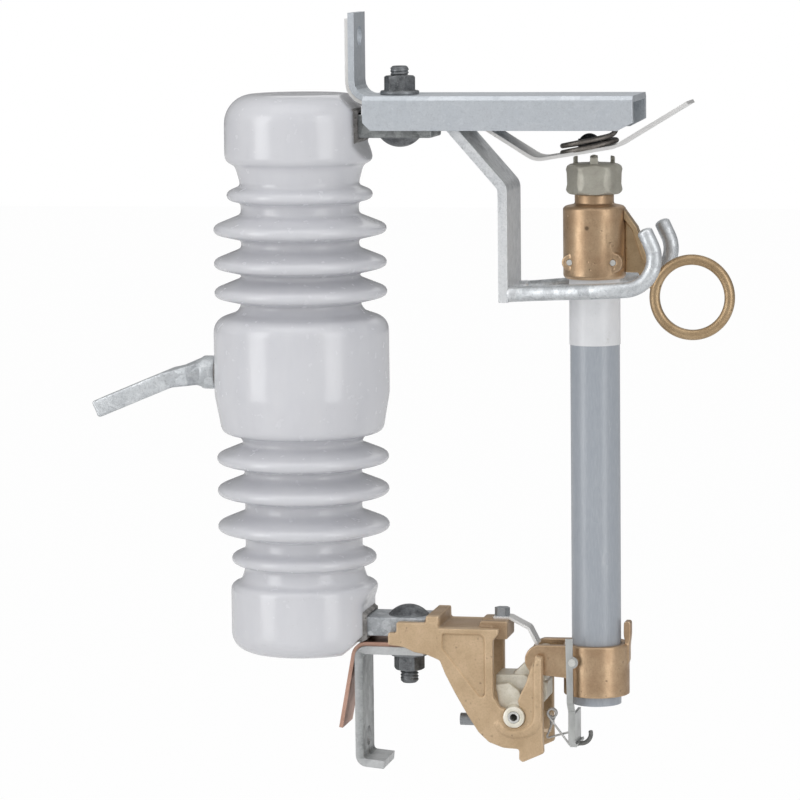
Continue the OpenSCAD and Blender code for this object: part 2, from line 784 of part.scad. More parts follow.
module hinge_contact() {
    mid_z = hinge_seat_z + hinge_leaf_t / 2;
    color([0.82, 0.80, 0.74])
        difference() {
            strip([[hinge_seat_x + 5.7, mid_z], [hinge_seat_end + 0.1, mid_z],
                   pivot + [5.4, 43.8], pivot + [9.8, 35.2]],
                  hinge_leaf_t, hinge_leaf_w, 3);
            translate([hinge_screw_x, 0, hinge_seat_z - 1])
                cylinder(d = hinge_screw_d + 2 * pin_clear, h = hinge_leaf_t + 2);
        }
}

module hinge_contact_screw() {
    head_z = hinge_seat_z + hinge_leaf_t;
    color([0.45, 0.46, 0.47]) {
        translate([hinge_screw_x, 0, head_z - 7]) cylinder(d = hinge_screw_d, h = 7);
        translate([hinge_screw_x, 0, head_z]) cylinder(d = 8, h = 4.2, $fn = 6);
    }
}

// --- Lower terminal ---
lower_post_x = 31;

module lower_terminal() {
    mid_z = lower_terminal_z + lower_terminal_t / 2;
    foot_z = lower_terminal_z - lower_pad_h;
    color([0.60, 0.63, 0.66])
        difference() {
            strip([[lower_bolt_x + 10, mid_z], [lower_post_x, mid_z],
                   [lower_post_x, foot_z], [lower_post_x + 12.8, foot_z - 1.2]],
                  lower_terminal_t, terminal_w, 4);
            translate([lower_bolt_x, 0, lower_terminal_z - 1])
                cylinder(r = bolt_hole_r, h = lower_terminal_t + 2);
            translate([lower_post_x - 10, 0, foot_z + 11.5]) rotate([0, 90, 0])
                cylinder(d = terminal_hole_d, h = 20);
        }
}

module copper_strap() {
    mid_z = copper_z + copper_t / 2;
    color([0.72, 0.45, 0.33])
        difference() {
            strip([[lower_bolt_x + 10, mid_z], [lower_post_x - 2, mid_z],
                   [lower_post_x - 10.1, mid_z - 44.5]], copper_t, terminal_w - 3, 6.8);
            translate([lower_bolt_x, 0, copper_z - 1])
                cylinder(r = bolt_hole_r, h = copper_t + 2);
        }
}

// --- Trunnion ---
module trunnion() {
    p = pivot;
    t = toggle;
    color([0.84, 0.82, 0.74])
        difference() {
            union() {
                slab(-body_half, body_half)
                    polygon([p + [-11.1, 20.2], p + [4.2, 20.2], p + [6.6, 18.6], p + [11, 17.2],
                             p + [15.5, 16.6], p + [15.5, 8], p + [8, 0], p + [-8, 0],
                             p + [-11.1, 12]]);
                slab(-hub_half, hub_half)
                    union() {
                        translate(p) circle(hub_r);
                        polygon([p + [-8.3, 1], p + [-10.6, 15.4], p + [-4, 16.5], p + [1.5, 12.6],
                                 p + [5, 6.6]]);
                    }
                slab(-lug_half, lug_half)
                    union() {
                        translate(t) circle(lug_r);
                        polygon([t + [-5.4, 1], p + [-4, 19], p + [14, 14], t + [5.4, -1]]);
                        polygon([p + [-9, 0], p + [-9, -12.4], p + [9.5, -12.4], p + [9.5, 0]]);
                    }
                cross_pin(p, pivot_d / 2, 2 * (half_out + boss_l));
            }
            for (side = [-1, 1])
                translate([p[0], side * bush_in, p[1]]) rotate([side * -90, 0, 0])
                    cylinder(r = bush_r + pin_clear, h = half_out);
            cross_pin(t, toggle_d / 2 + pin_clear, 2 * half_out);
            translate([stud_x - 1, 0, stud_z]) rotate([0, 90, 0])
                cylinder(d = stud_d + 2 * pin_clear, h = stud_l + 4);
        }
}

// A hollow bush in each end of the trunnion's pivot
module pivot_bushes() {
    color([0.30, 0.30, 0.31])
        for (side = [-1, 1])
            translate([pivot[0], side * bush_in, pivot[1]]) rotate([side * -90, 0, 0])
                ring_plate(bush_r, 1.9, half_out + boss_l - bush_in);
}

// The toggle pin's ends stay inside the lower ferrule's arms
module toggle_pin() {
    color([0.45, 0.46, 0.47]) cross_pin(toggle, toggle_d / 2, 2 * (arm_out - arm_skin) - 0.4);
}

module link_stud() {
    color([0.50, 0.50, 0.50])
        translate([stud_x, 0, stud_z]) rotate([0, 90, 0]) cylinder(d = stud_d, h = stud_l);
}

module link_washer() {
    color([0.72, 0.60, 0.42])
        translate([pivot_x + 9.5, 0, stud_z]) rotate([0, 90, 0])
            ring_plate(7, stud_d / 2 + pin_clear, 1.6);
}

module link_nut() {
    translate([pivot_x + 11.1, 0, stud_z]) rotate([0, 90, 0])
        hex_nut(11.4, 5, stud_d / 2 + pin_clear);
}

// --- Fuse holder ---
module fuse_tube() {
    color([0.62, 0.65, 0.68])
        translate([tube_x, 0, tube_z])
            ring_plate(tube_d / 2, tube_bore_d / 2, tube_top - tube_z);
}

module tube_sleeve() {
    low_z = 17;
    color([0.86, 0.87, 0.86])
        translate([tube_x, 0, low_z])
            ring_plate(tube_d / 2 + 0.35, tube_d / 2 + pin_clear, upper_ferrule_z - low_z);
}

// Outline of the finger on the lower ferrule's outer side, with z from the ferrule's top
module finger_outline() {
    x = tube_x + lower_ferrule_r;
    polygon([[x - 2.4, 10.8], [x - 1.7, 11.6], [x + 0.5, 11.6], [x + 1.2, 10.8], [x + 1.2, 5],
             [x + 0.4, -2.6], [x + 0.4, -9], [x - 1.5, -14], [x - 3, -14], [x - 3, -3],
             [x - 1.3, -2.6], [x - 2.5, 4.8]]);
}

module lower_ferrule() {
    t = toggle;
    color([0.70, 0.58, 0.42])
        difference() {
            union() {
                translate([tube_x, 0, lower_ferrule_z])
                    cylinder(r = lower_ferrule_r, h = lower_ferrule_h);
                for (y = [-arm_out, arm_in])
                    slab(y, y + arm_out - arm_in) {
                        translate(t) circle(arm_r);
                        polygon([t + arm_r * [-0.13, 0.99], [tube_x - 4, lower_ferrule_top],
                                 [tube_x - 4, lower_ferrule_z + 11], t + [14, -9],
                                 t + arm_r * [0.13, -0.99]]);
                    }
                translate([0, 0, lower_ferrule_top]) slab(-3.5, 3.5) finger_outline();
            }
            translate([tube_x, 0, lower_ferrule_z - 1])
                cylinder(d = tube_d + 2 * pin_clear, h = lower_ferrule_h + 20);
            cross_pin(t, toggle_d / 2 + pivot_fit, 2 * (arm_out - arm_skin));
            cross_pin(ejector_at, ejector_pin_d / 2 + pin_clear, 2 * half_out);
        }
}

module ejector_pin() {
    color([0.45, 0.46, 0.47])
        translate([ejector_at[0], -ejector_bolt_in, ejector_at[1]]) rotate([90, 0, 0])
            cylinder(d = ejector_pin_d, h = ejector_y + ejector_t / 2 + 0.3 - ejector_bolt_in);
}

module upper_ferrule() {
    color([0.70, 0.58, 0.42])
        difference() {
            union() {
                translate([tube_x, 0, upper_ferrule_z + 1.5])
                    cylinder(r = upper_ferrule_r, h = upper_ferrule_h - 3.7);
                translate([tube_x, 0, upper_ferrule_z])
                    cylinder(r1 = upper_ferrule_r - 1.2, r2 = upper_ferrule_r, h = 1.5);
                translate([tube_x, 0, upper_ferrule_top - 2.2])
                    cylinder(r1 = upper_ferrule_r, r2 = upper_ferrule_r - 1.2, h = 1.2);
                translate([tube_x, 0, upper_ferrule_top - 1])
                    cylinder(r1 = upper_ferrule_r - 1.2, r2 = neck_r + 0.4, h = 1);
                translate([tube_x, 0, upper_ferrule_top - eps])
                    cylinder(r = neck_r, h = neck_h + eps);
                translate([tube_x, 0, cap_z - eps]) cylinder(r = spigot_r, h = 8 + eps);
                for (i = [0, 1])
                    cross_pin([tube_x + (2 * i - 1) * ferrule_pin_dx, ferrule_pin_z],
                              ferrule_boss_r[i], 24);
            }
            translate([tube_x, 0, upper_ferrule_z - 1])
                cylinder(d = tube_d + 2 * pin_clear, h = tube_top - upper_ferrule_z + 1);
            translate([tube_x, 0, upper_ferrule_z]) cylinder(d = tube_bore_d, h = 80);
            for (side = [-1, 1])
                cross_pin([tube_x + side * ferrule_pin_dx, ferrule_pin_z],
                          ferrule_pin_r + pin_clear, 60);
        }
}

module ferrule_pins() {
    color([0.45, 0.46, 0.47])
        for (dx = [-ferrule_pin_dx, ferrule_pin_dx], side = [-1, 1])
            translate([tube_x + dx, side * 9.7, ferrule_pin_z]) rotate([side * -90, 0, 0])
                cylinder(r = ferrule_pin_r, h = 2.3);
}

// The ring and the web that joins it to the upper ferrule, with a rib along the web's outer edge
module pull_ring() {
    web_half = 1.7;
    rib_half = 4.2;
    x = tube_x;
    z = upper_ferrule_z;
    color([0.70, 0.58, 0.42])
        difference() {
            union() {
                translate([ring_x, 0, ring_z]) rotate([90, 0, 0])
                    rotate_extrude($fn = 96) translate([ring_mean_r, 0])
                        circle(ring_section_d / 2);
                slab(-web_half, web_half)
                    polygon([[x + 12, z + 37], [x + 14.2, z + 37], [x + 22, z + 26.2],
                             [x + 27.3, z + 10.4], [x + 33.8, z + 4.4], [x + 31, z - 5],
                             [x + 26, z - 4.6], [x + 22.5, z + 3], [x + 12, z + 3]]);
                slab(-rib_half, rib_half)
                    polygon([[x + 12, z + 37.2], [x + 14.4, z + 37.2], [x + 22.2, z + 26.3],
                             [x + 27.5, z + 10.5], [x + 33, z + 5.4], [x + 30.6, z + 4],
                             [x + 25.2, z + 9.4], [x + 20, z + 25], [x + 12, z + 35]]);
            }
            translate([x, 0, z - 1])
                cylinder(r = upper_ferrule_r + pin_clear, h = upper_ferrule_h + 2);
            cross_pin([x + ferrule_pin_dx, ferrule_pin_z], ferrule_boss_r[1] + pin_clear, 60);
            translate([ring_x, 0, ring_z]) rotate([90, 0, 0])
                cylinder(r = ring_mean_r - ring_section_d / 2 + 0.4, h = 20, center = true);
        }
}

// A six-sided cap with eased edges and a slight waist, and an open crown of four posts
module fuse_cap() {
    window_w = 11.5;
    cap_turn = 9;
    color([0.78, 0.78, 0.70])
        difference() {
            union() {
                translate([tube_x, 0, cap_z])
                    intersection() {
                        rotate_extrude($fn = 96)
                            polygon([[0, 0], [cap_r - 1.8, 0], [cap_r - 0.5, 1], [cap_r, 2.2],
                                     [cap_r - 0.6, 5], [cap_r - 0.4, cap_h - 4.6],
                                     [cap_r, cap_h - 2.6], [cap_r - 0.6, cap_h - 1],
                                     [cap_r - 2.2, cap_h], [0, cap_h]]);
                        rotate(cap_turn) cylinder(r = cap_r * 1.04, h = cap_h, $fn = 6);
                    }
                intersection() {
                    translate([tube_x, 0, cap_top_z - 1]) cylinder(r = crown_r, h = crown_h + 2);
                    translate([tube_x, 0, crown_top_z - crown_dome_r]) sphere(crown_dome_r);
                }
            }
            translate([tube_x, 0, cap_z - 1]) cylinder(r = spigot_r + pin_clear, h = 9.5);
            translate([tube_x, 0, cap_top_z + 0.4]) {
                for (a = [45 + cap_turn, 135 + cap_turn])
                    rotate(a) translate([-20, -window_w / 2, 0]) cube([40, window_w, 20]);
                cylinder(r = 6.5, h = 20);
            }
        }
}

// A lever that steps inwards below the ferrule, and turns in under the tube's end
module link_ejector() {
    p = ejector_at;
    low_z = p[1] - ejector_l;
    web_top = tube_z - 4;
    color([0.75, 0.76, 0.77])
        difference() {
            union() {
                intersection() {
                    slab(-ejector_y - 2, -ejector_low_y + 2)
                        union() {
                            polygon([p + [-3.4, 12.3], p + [0.4, 12.3],
                                     [p[0] + 0.6, low_z + 3.2], [p[0] + 1.3, low_z],
                                     [p[0] - 2, low_z], [p[0] - 3, low_z + 3.2],
                                     p + [-2.8, -14]]);
                            translate(p) circle(ejector_pin_d / 2 + 1.1);
                        }
                    translate([p[0] - 6, 0, 0]) rotate([90, 0, 90]) linear_extrude(12)
                        lever_section();
                }
                slab(-ejector_low_y, 6)
                    polygon([[p[0] - 0.8, web_top], [p[0] + 0.6, web_top],
                             [p[0] + 0.6, low_z + 1.4], [p[0] + 2, low_z + 1.8],
                             [p[0] + 2.3, low_z + 0.5], [p[0] + 0.4, low_z],
                             [p[0] - 0.8, low_z + 0.5]]);
            }
            cross_pin(p, ejector_pin_d / 2 + pivot_fit, 2 * half_out + 20);
        }
}

// The lever's bent section, in y and z
module lever_section() {
    z = ejector_at[1];
    line = [[-ejector_y, z + 14], [-ejector_y, lower_ferrule_z - 1.7],
            [-ejector_low_y, tube_z - 2.7], [-ejector_low_y, z - ejector_l - 1]];
    polygon(concat(side_path(line, -ejector_t / 2), reversed(side_path(line, ejector_t / 2))));
}

at_mount() insulator();
at_mount() bracket_grout();
at_mount() mounting_bracket();
at_mount() upper_grout();
at_mount() upper_insert();
at_mount() lower_grout();
at_mount() lower_insert();
at_mount() hook_plate();
at_mount() hook_front();
at_mount() hook_back();
at_mount() upper_contact();
at_mount() top_channel();
at_mount() contact_spring();
at_mount() spring_button();
at_mount() upper_bolt();
at_mount() upper_washer();
at_mount() upper_nut();
at_mount() hinge_casting();
at_mount() hinge_contact();
at_mount() hinge_contact_screw();
at_mount() copper_strap();
at_mount() lower_terminal();
at_mount() lower_bolt();
at_mount() lower_washer();
at_mount() lower_nut();
at_mount() trunnion();
at_mount() pivot_bushes();
at_mount() toggle_pin();
at_mount() link_stud();
at_mount() link_washer();
at_mount() link_nut();
at_mount() fuse_tube();
at_mount() tube_sleeve();
at_mount() lower_ferrule();
at_mount() ejector_pin();
at_mount() upper_ferrule();
at_mount() ferrule_pins();
at_mount() pull_ring();
at_mount() fuse_cap();
at_mount() link_ejector();
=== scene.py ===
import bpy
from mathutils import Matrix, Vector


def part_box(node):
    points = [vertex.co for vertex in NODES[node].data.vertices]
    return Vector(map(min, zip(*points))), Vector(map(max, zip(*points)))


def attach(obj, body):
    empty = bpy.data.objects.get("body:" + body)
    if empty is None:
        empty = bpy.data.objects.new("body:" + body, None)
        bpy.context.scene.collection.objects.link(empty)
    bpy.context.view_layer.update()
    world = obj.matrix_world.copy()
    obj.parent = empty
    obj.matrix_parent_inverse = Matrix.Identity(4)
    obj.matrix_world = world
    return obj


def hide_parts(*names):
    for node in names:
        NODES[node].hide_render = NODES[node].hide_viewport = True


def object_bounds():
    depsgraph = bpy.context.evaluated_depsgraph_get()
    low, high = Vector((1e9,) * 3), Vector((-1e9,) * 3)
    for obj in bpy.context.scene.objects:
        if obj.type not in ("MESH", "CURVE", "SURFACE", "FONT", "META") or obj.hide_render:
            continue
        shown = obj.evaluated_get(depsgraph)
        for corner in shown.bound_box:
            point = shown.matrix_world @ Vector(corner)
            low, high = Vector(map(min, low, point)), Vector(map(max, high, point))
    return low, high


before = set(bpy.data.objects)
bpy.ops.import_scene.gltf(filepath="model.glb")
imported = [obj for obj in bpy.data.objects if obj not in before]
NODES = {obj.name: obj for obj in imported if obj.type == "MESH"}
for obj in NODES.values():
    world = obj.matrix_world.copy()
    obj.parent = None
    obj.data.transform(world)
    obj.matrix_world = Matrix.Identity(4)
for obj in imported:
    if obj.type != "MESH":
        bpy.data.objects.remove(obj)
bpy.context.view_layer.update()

import math

import bmesh
import bpy
from mathutils import Matrix, Vector, noise as mnoise

MM = 0.001

# The porcelain's axis and middle band, from its box
low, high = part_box("insulator")
AXIS_X = (low.x + high.x) / 2
MID_Z = (low.z + high.z) / 2


def at_mm(x, y, z):
    """A point given in mm about the porcelain's axis and middle band."""
    return Vector((AXIS_X + x * MM, y * MM, MID_Z + z * MM))


def span_z(node):
    """A node's lowest and highest z in mm."""
    low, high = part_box(node)
    return (low.z - MID_Z) / MM, (high.z - MID_Z) / MM


def mid_x(node):
    low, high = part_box(node)
    return ((low.x + high.x) / 2 - AXIS_X) / MM


def eased(t):
    """From 0 to 1 with a soft start and end."""
    return t * t * (3 - 2 * t)


# ---------------------------------------------------------------- materials
class Shader:
    """A Principled material with short calls for its procedural textures."""

    def __init__(self, name, colour, metallic=0.0, roughness=0.5, **constants):
        self.mat = bpy.data.materials.new(name)
        self.mat.use_nodes = True
        self.tree = self.mat.node_tree
        self.bsdf = self.tree.nodes["Principled BSDF"]
        self.bsdf.inputs["Base Color"].default_value = (*colour, 1)
        self.bsdf.inputs["Metallic"].default_value = metallic
        self.bsdf.inputs["Roughness"].default_value = roughness
        for key, value in constants.items():
            self.bsdf.inputs[key.replace("_", " ")].default_value = value
        self.coords = self.add("ShaderNodeTexCoord").outputs["Object"]

    def add(self, kind, **inputs):
        made = self.tree.nodes.new(kind)
        for key, value in inputs.items():
            self.put(made.inputs[key.replace("_", " ")], value)
        return made

    def put(self, socket, value):
        if isinstance(value, bpy.types.NodeSocket):
            self.tree.links.new(value, socket)
        else:
            socket.default_value = value

    def place(self, size, stretch=(1, 1, 1)):
        mapping = self.add("ShaderNodeMapping", Vector=self.coords)
        mapping.inputs["Scale"].default_value = [1000 / size / s for s in stretch]
        return mapping.outputs["Vector"]

    def noise(self, size, detail=4, rough=0.55, stretch=(1, 1, 1)):
        """Soft patches of about that size in mm, longer where stretch is above 1."""
        made = self.add("ShaderNodeTexNoise", Vector=self.place(size, stretch), Scale=1.0,
                        Detail=detail, Roughness=rough)
        return made.outputs["Fac"]

    def cells(self, size, output="Distance", wobble=None):
        """Cells of about that size in mm, with wavy borders where wobble is given."""
        vector = self.place(size)
        if wobble is not None:
            shift = self.add("ShaderNodeTexNoise", Vector=vector, Scale=1.3, Detail=3.0)
            mixed = self.tree.nodes.new("ShaderNodeMix")
            mixed.data_type = "VECTOR"
            self.put(mixed.inputs[0], wobble)
            self.put(mixed.inputs[4], vector)
            self.put(mixed.inputs[5], shift.outputs["Color"])
            vector = mixed.outputs[1]
        made = self.tree.nodes.new("ShaderNodeTexVoronoi")
        self.put(made.inputs["Vector"], vector)
        self.put(made.inputs["Scale"], 1.0)
        return made.outputs[output]

    def mix(self, factor, a, b):
        made = self.tree.nodes.new("ShaderNodeMix")
        made.data_type = "RGBA"
        self.put(made.inputs[0], factor)
        for socket, value in ((made.inputs[6], a), (made.inputs[7], b)):
            self.put(socket, (*value, 1) if isinstance(value, tuple) and len(value) == 3 else value)
        return made.outputs[2]

    def math(self, operation, a, b=0.0):
        made = self.tree.nodes.new("ShaderNodeMath")
        made.operation = operation
        self.put(made.inputs[0], a)
        self.put(made.inputs[1], b)
        return made.outputs[0]

    def span(self, value, a0, a1, b0, b1):
        """The value taken from a0..a1 to b0..b1, and held at both ends."""
        made = self.add("ShaderNodeMapRange", Value=value)
        for key, v in (("From Min", a0), ("From Max", a1), ("To Min", b0), ("To Max", b1)):
            made.inputs[key].default_value = v
        return made.outputs["Result"]

    def above(self, value, start, full):
        """0 below start, 1 above full."""
        return self.span(value, start, full, 0, 1)

    def over(self, base, mask, amount, colour):
        """A colour laid over the base where the mask is 1, by that amount."""
        return self.mix(self.math("MULTIPLY", mask, amount), base, colour)

    def edges(self, high=0.6, low=0.53):
        """1 on raised edges, 0 elsewhere."""
        geometry = self.add("ShaderNodeNewGeometry")
        return self.above(geometry.outputs["Pointiness"], low, high)

    def shade_in_hollows(self, low=0.40, high=0.49):
        """1 in hollow corners, 0 elsewhere: the mask for painted shade in the corners."""
        geometry = self.add("ShaderNodeNewGeometry")
        return self.span(geometry.outputs["Pointiness"], low, high, 1.0, 0.0)

    def colour(self, value):
        self.put(self.bsdf.inputs["Base Color"], value)
        return self

    def rough(self, value):
        self.put(self.bsdf.inputs["Roughness"], value)
        return self

    def bump(self, *layers, rounding=0.0):
        """Layers are (height, depth in mm). Rounding softens edges by that many mm."""
        normal = None
        if rounding:
            bevel = self.add("ShaderNodeBevel", Radius=rounding * MM)
            bevel.samples = 4
            normal = bevel.outputs["Normal"]
        for height, depth in layers:
            made = self.add("ShaderNodeBump", Strength=1.0, Distance=depth * MM, Height=height)
            if normal is not None:
                self.put(made.inputs["Normal"], normal)
            normal = made.outputs["Normal"]
        self.put(self.bsdf.inputs["Normal"], normal)
        return self


INNER_SHADE_FADE = (12.5 * MM, 14.5 * MM)    # how far from the middle the painted shade between the casting's walls fades out
DIMPLE_SHADE_RADII = (0.7 * MM, 1.5 * MM)


def scaled(colour, factor, most=1.0):
    """The colour made darker or lighter, up to the most."""
    return tuple(min(most, factor * part) for part in colour)


def porcelain():
    look = Shader("glazed_porcelain", (0.58, 0.60, 0.61), roughness=0.22,
                  Coat_Weight=0.35, Coat_Roughness=0.16)
    cloud = look.noise(34, 3)
    runs = look.noise(9, 4, stretch=(1, 1, 5))
    speck = look.math("LESS_THAN", look.cells(3.2), 0.055)
    base = look.mix(cloud, (0.545, 0.55, 0.585), (0.63, 0.635, 0.665))
    base = look.mix(look.span(runs, 0.35, 0.75, 0, 0.35), base, (0.66, 0.66, 0.68))
    base = look.over(base, speck, 0.4, (0.36, 0.34, 0.32))
    look.colour(base).rough(look.span(look.noise(5, 2), 0.3, 0.7, 0.16, 0.28))
    return look.bump((look.noise(16, 2), 0.10), (look.noise(2.2, 2), 0.005)).mat


def galvanised(name, dark, light, spangle=4.5, rough=(0.34, 0.6), grain=0.05,
               tint=(0.86, 0.87, 0.88)):
    """Zinc with a spangle of that size in mm, worn to the tint on its edges, with painted shade in
    its hollow corners.
    """
    look = Shader(name, light, metallic=0.82, roughness=0.5)
    flakes = look.cells(spangle, output="Color", wobble=0.18)
    patch = look.noise(11, 5, 0.6)
    fine = look.noise(1.1, 3)
    value = look.math("ADD", look.math("MULTIPLY", flakes, 0.45),
                      look.math("MULTIPLY", patch, 0.75))
    base = look.mix(look.above(value, 0.25, 0.95), dark, light)
    specks = look.noise(2.3, 5, 0.75)
    base = look.mix(look.span(specks, 0.55, 0.7, 0, 0.5), base, scaled(light, 1.2, 0.9))
    base = look.mix(look.span(specks, 0.32, 0.45, 0.5, 0), base, scaled(dark, 0.7))
    base = look.over(base, look.above(fine, 0.5, 0.72), 0.35, scaled(dark, 0.6))
    # painted shade: hollow corners darkened where shade falls
    base = look.over(base, look.shade_in_hollows(), 0.6, scaled(dark, 0.35))
    base = look.over(base, look.edges(), 0.5, tint)
    look.colour(base).rough(look.span(value, 0.2, 1.0, rough[1], rough[0]))
    return look.bump((patch, grain * 3), (fine, grain), rounding=0.5).mat


def bronze(name, dark, light, metallic, rough, wear_and_shade=1.0, inner=False, dimple=None):
    """Cast bronze. Its edges are worn brighter and its hollow corners get painted shade, both
    scaled by one amount.
    """
    look = Shader(name, light, metallic=metallic, roughness=0.42)
    patch = look.noise(14, 5, 0.6)
    grain = look.noise(0.9, 4)
    pits = look.above(look.cells(2.6, wobble=0.3), 0.05, 0.22)
    sparse = look.above(look.noise(7, 2), 0.52, 0.6)
    pocks = look.math("MULTIPLY", look.math("SUBTRACT", 1.0, pits), sparse)
    deep = scaled(dark, 0.28)
    base = look.mix(look.above(patch, 0.3, 0.7), dark, light)
    base = look.over(base, look.above(grain, 0.45, 0.75), 0.3, scaled(dark, 0.6))
    base = look.over(base, pocks, 0.6, deep)
    if inner:
        # painted shade: the faces between the casting's walls are darkened, as shade falls between
        # them
        y = look.add("ShaderNodeSeparateXYZ", Vector=look.coords).outputs["Y"]
        skin = look.span(look.math("ABSOLUTE", y), *INNER_SHADE_FADE, 0.7, 0.0)
        base = look.over(base, skin, look.span(grain, 0.2, 0.6, 0.6, 1), (0.27, 0.175, 0.105))
    # painted shade in the hollow corners; the same amount also scales the edge wear below
    base = look.over(base, look.shade_in_hollows(), 0.8 * wear_and_shade, deep)
    base = look.over(base, look.edges(low=0.52), 0.7 * wear_and_shade, (0.80, 0.62, 0.42))
    # painted shade: a dark spot where the dimple's recess lies in shade
    if dimple:
        near = look.tree.nodes.new("ShaderNodeVectorMath")
        near.operation = "DISTANCE"
        look.put(near.inputs[0], look.coords)
        near.inputs[1].default_value = dimple
        base = look.mix(look.span(near.outputs["Value"], *DIMPLE_SHADE_RADII, 0.85, 0), base, deep)
    look.colour(base).rough(look.span(patch, 0.3, 0.7, rough[1], rough[0]))
    return look.bump((patch, 0.2), (grain, 0.04), (pocks, -0.2), rounding=0.4).mat


def tinned_casting(name, light, dark):
    look = Shader(name, light, metallic=0.45, roughness=0.45)
    patch = look.noise(9, 5, 0.6)
    grain = look.noise(0.8, 4)
    base = look.mix(look.above(patch, 0.3, 0.72), dark, light)
    base = look.over(base, look.above(grain, 0.5, 0.75), 0.35, scaled(dark, 0.7))
    # painted shade: hollow corners darkened where shade falls
    base = look.over(base, look.shade_in_hollows(), 0.75, scaled(dark, 0.3))
    base = look.over(base, look.edges(0.62), 0.5, scaled(light, 1.25, 0.9))
    look.colour(base).rough(look.span(patch, 0.3, 0.7, 0.55, 0.35))
    return look.bump((patch, 0.15), (grain, 0.04), rounding=0.4).mat


def rolled(name, dark, light, along, metallic=0.9, rough=(0.25, 0.42)):
    """Rolled strip: fine lines along the strip and soft patches."""
    look = Shader(name, light, metallic=metallic, roughness=0.35)
    lines = look.noise(0.5, 3, stretch=along)
    patch = look.noise(12, 4)
    base = look.mix(look.above(patch, 0.3, 0.7), dark, light)
    base = look.over(base, look.above(lines, 0.5, 0.8), 0.4, scaled(dark, 0.7))
    base = look.over(base, look.edges(), 0.5, scaled(light, 1.2, 1.0))
    look.colour(base).rough(look.span(patch, 0.3, 0.7, rough[1], rough[0]))
    return look.bump((lines, 0.008), (patch, 0.06), rounding=0.3).mat


def dark_steel(name="bolt_zinc", dark=(0.06, 0.064, 0.068), light=(0.24, 0.25, 0.26)):
    look = Shader(name, light, metallic=0.75, roughness=0.5)
    patch = look.noise(5, 5, 0.65)
    grain = look.noise(0.7, 4)
    base = look.mix(look.above(patch, 0.3, 0.7), dark, light)
    base = look.over(base, look.above(grain, 0.5, 0.7), 0.35, scaled(light, 1.5))
    base = look.over(base, look.edges(), 0.6, scaled(light, 1.8))
    look.colour(base).rough(look.span(patch, 0.3, 0.7, 0.6, 0.36))
    return look.bump((patch, 0.08), (grain, 0.04), rounding=0.25).mat


def cement():
    look = Shader("cement_grout", (0.2, 0.2, 0.19), roughness=0.9)
    patch = look.noise(6, 6, 0.65)
    sand = look.noise(0.8, 4, 0.7)
    holes = look.span(look.cells(1.9, wobble=0.3), 0.05, 0.25, 1, 0)
    base = look.mix(look.above(patch, 0.3, 0.7), (0.10, 0.095, 0.09), (0.30, 0.29, 0.28))
    base = look.over(base, look.above(sand, 0.5, 0.75), 0.5, (0.42, 0.41, 0.40))
    base = look.over(base, holes, 0.7, (0.05, 0.045, 0.04))
    look.colour(base).rough(look.span(patch, 0.3, 0.7, 0.95, 0.75))
    return look.bump((patch, 0.5), (sand, 0.15), (holes, -0.3)).mat


def tube_varnish():
    look = Shader("tube_varnish", (0.36, 0.38, 0.41), roughness=0.3,
                  Coat_Weight=0.25, Coat_Roughness=0.2)
    wind = look.noise(0.55, 3, stretch=(1, 1, 9))
    cloud = look.noise(22, 3, stretch=(1, 1, 3))
    scuffs = look.above(look.noise(3.5, 5, 0.7, stretch=(1, 1, 4)), 0.62, 0.72)
    base = look.mix(cloud, (0.27, 0.30, 0.34), (0.35, 0.375, 0.41))
    base = look.over(base, look.above(wind, 0.42, 0.75), 0.30, (0.47, 0.49, 0.52))
    base = look.over(base, scuffs, 0.25, (0.56, 0.57, 0.58))
    look.colour(base).rough(look.span(cloud, 0.3, 0.7, 0.38, 0.26))
    return look.bump((wind, 0.03), (cloud, 0.12)).mat


def pale_band():
    look = Shader("pale_band", (0.80, 0.80, 0.79), roughness=0.34)
    cloud = look.noise(9, 4)
    fibre = look.noise(0.6, 3, stretch=(1, 1, 6))
    stain = look.above(look.noise(4, 5, 0.7), 0.6, 0.75)
    base = look.mix(cloud, (0.61, 0.62, 0.64), (0.73, 0.735, 0.75))
    base = look.over(base, stain, 0.4, (0.44, 0.435, 0.41))
    base = look.over(base, look.above(fibre, 0.5, 0.8), 0.15, (0.5, 0.5, 0.5))
    look.colour(base)
    return look.bump((fibre, 0.02), (cloud, 0.05)).mat


# A small cast dimple on the upper ferrule's face, above its pins, shown only as a dark spot of
# painted shade
pins_low, pins_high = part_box("ferrule_pins")
DIMPLE = ((pins_low.x + pins_high.x) / 2 - 1.4 * MM, -15.6 * MM,
          (pins_low.z + pins_high.z) / 2 + 17.8 * MM)

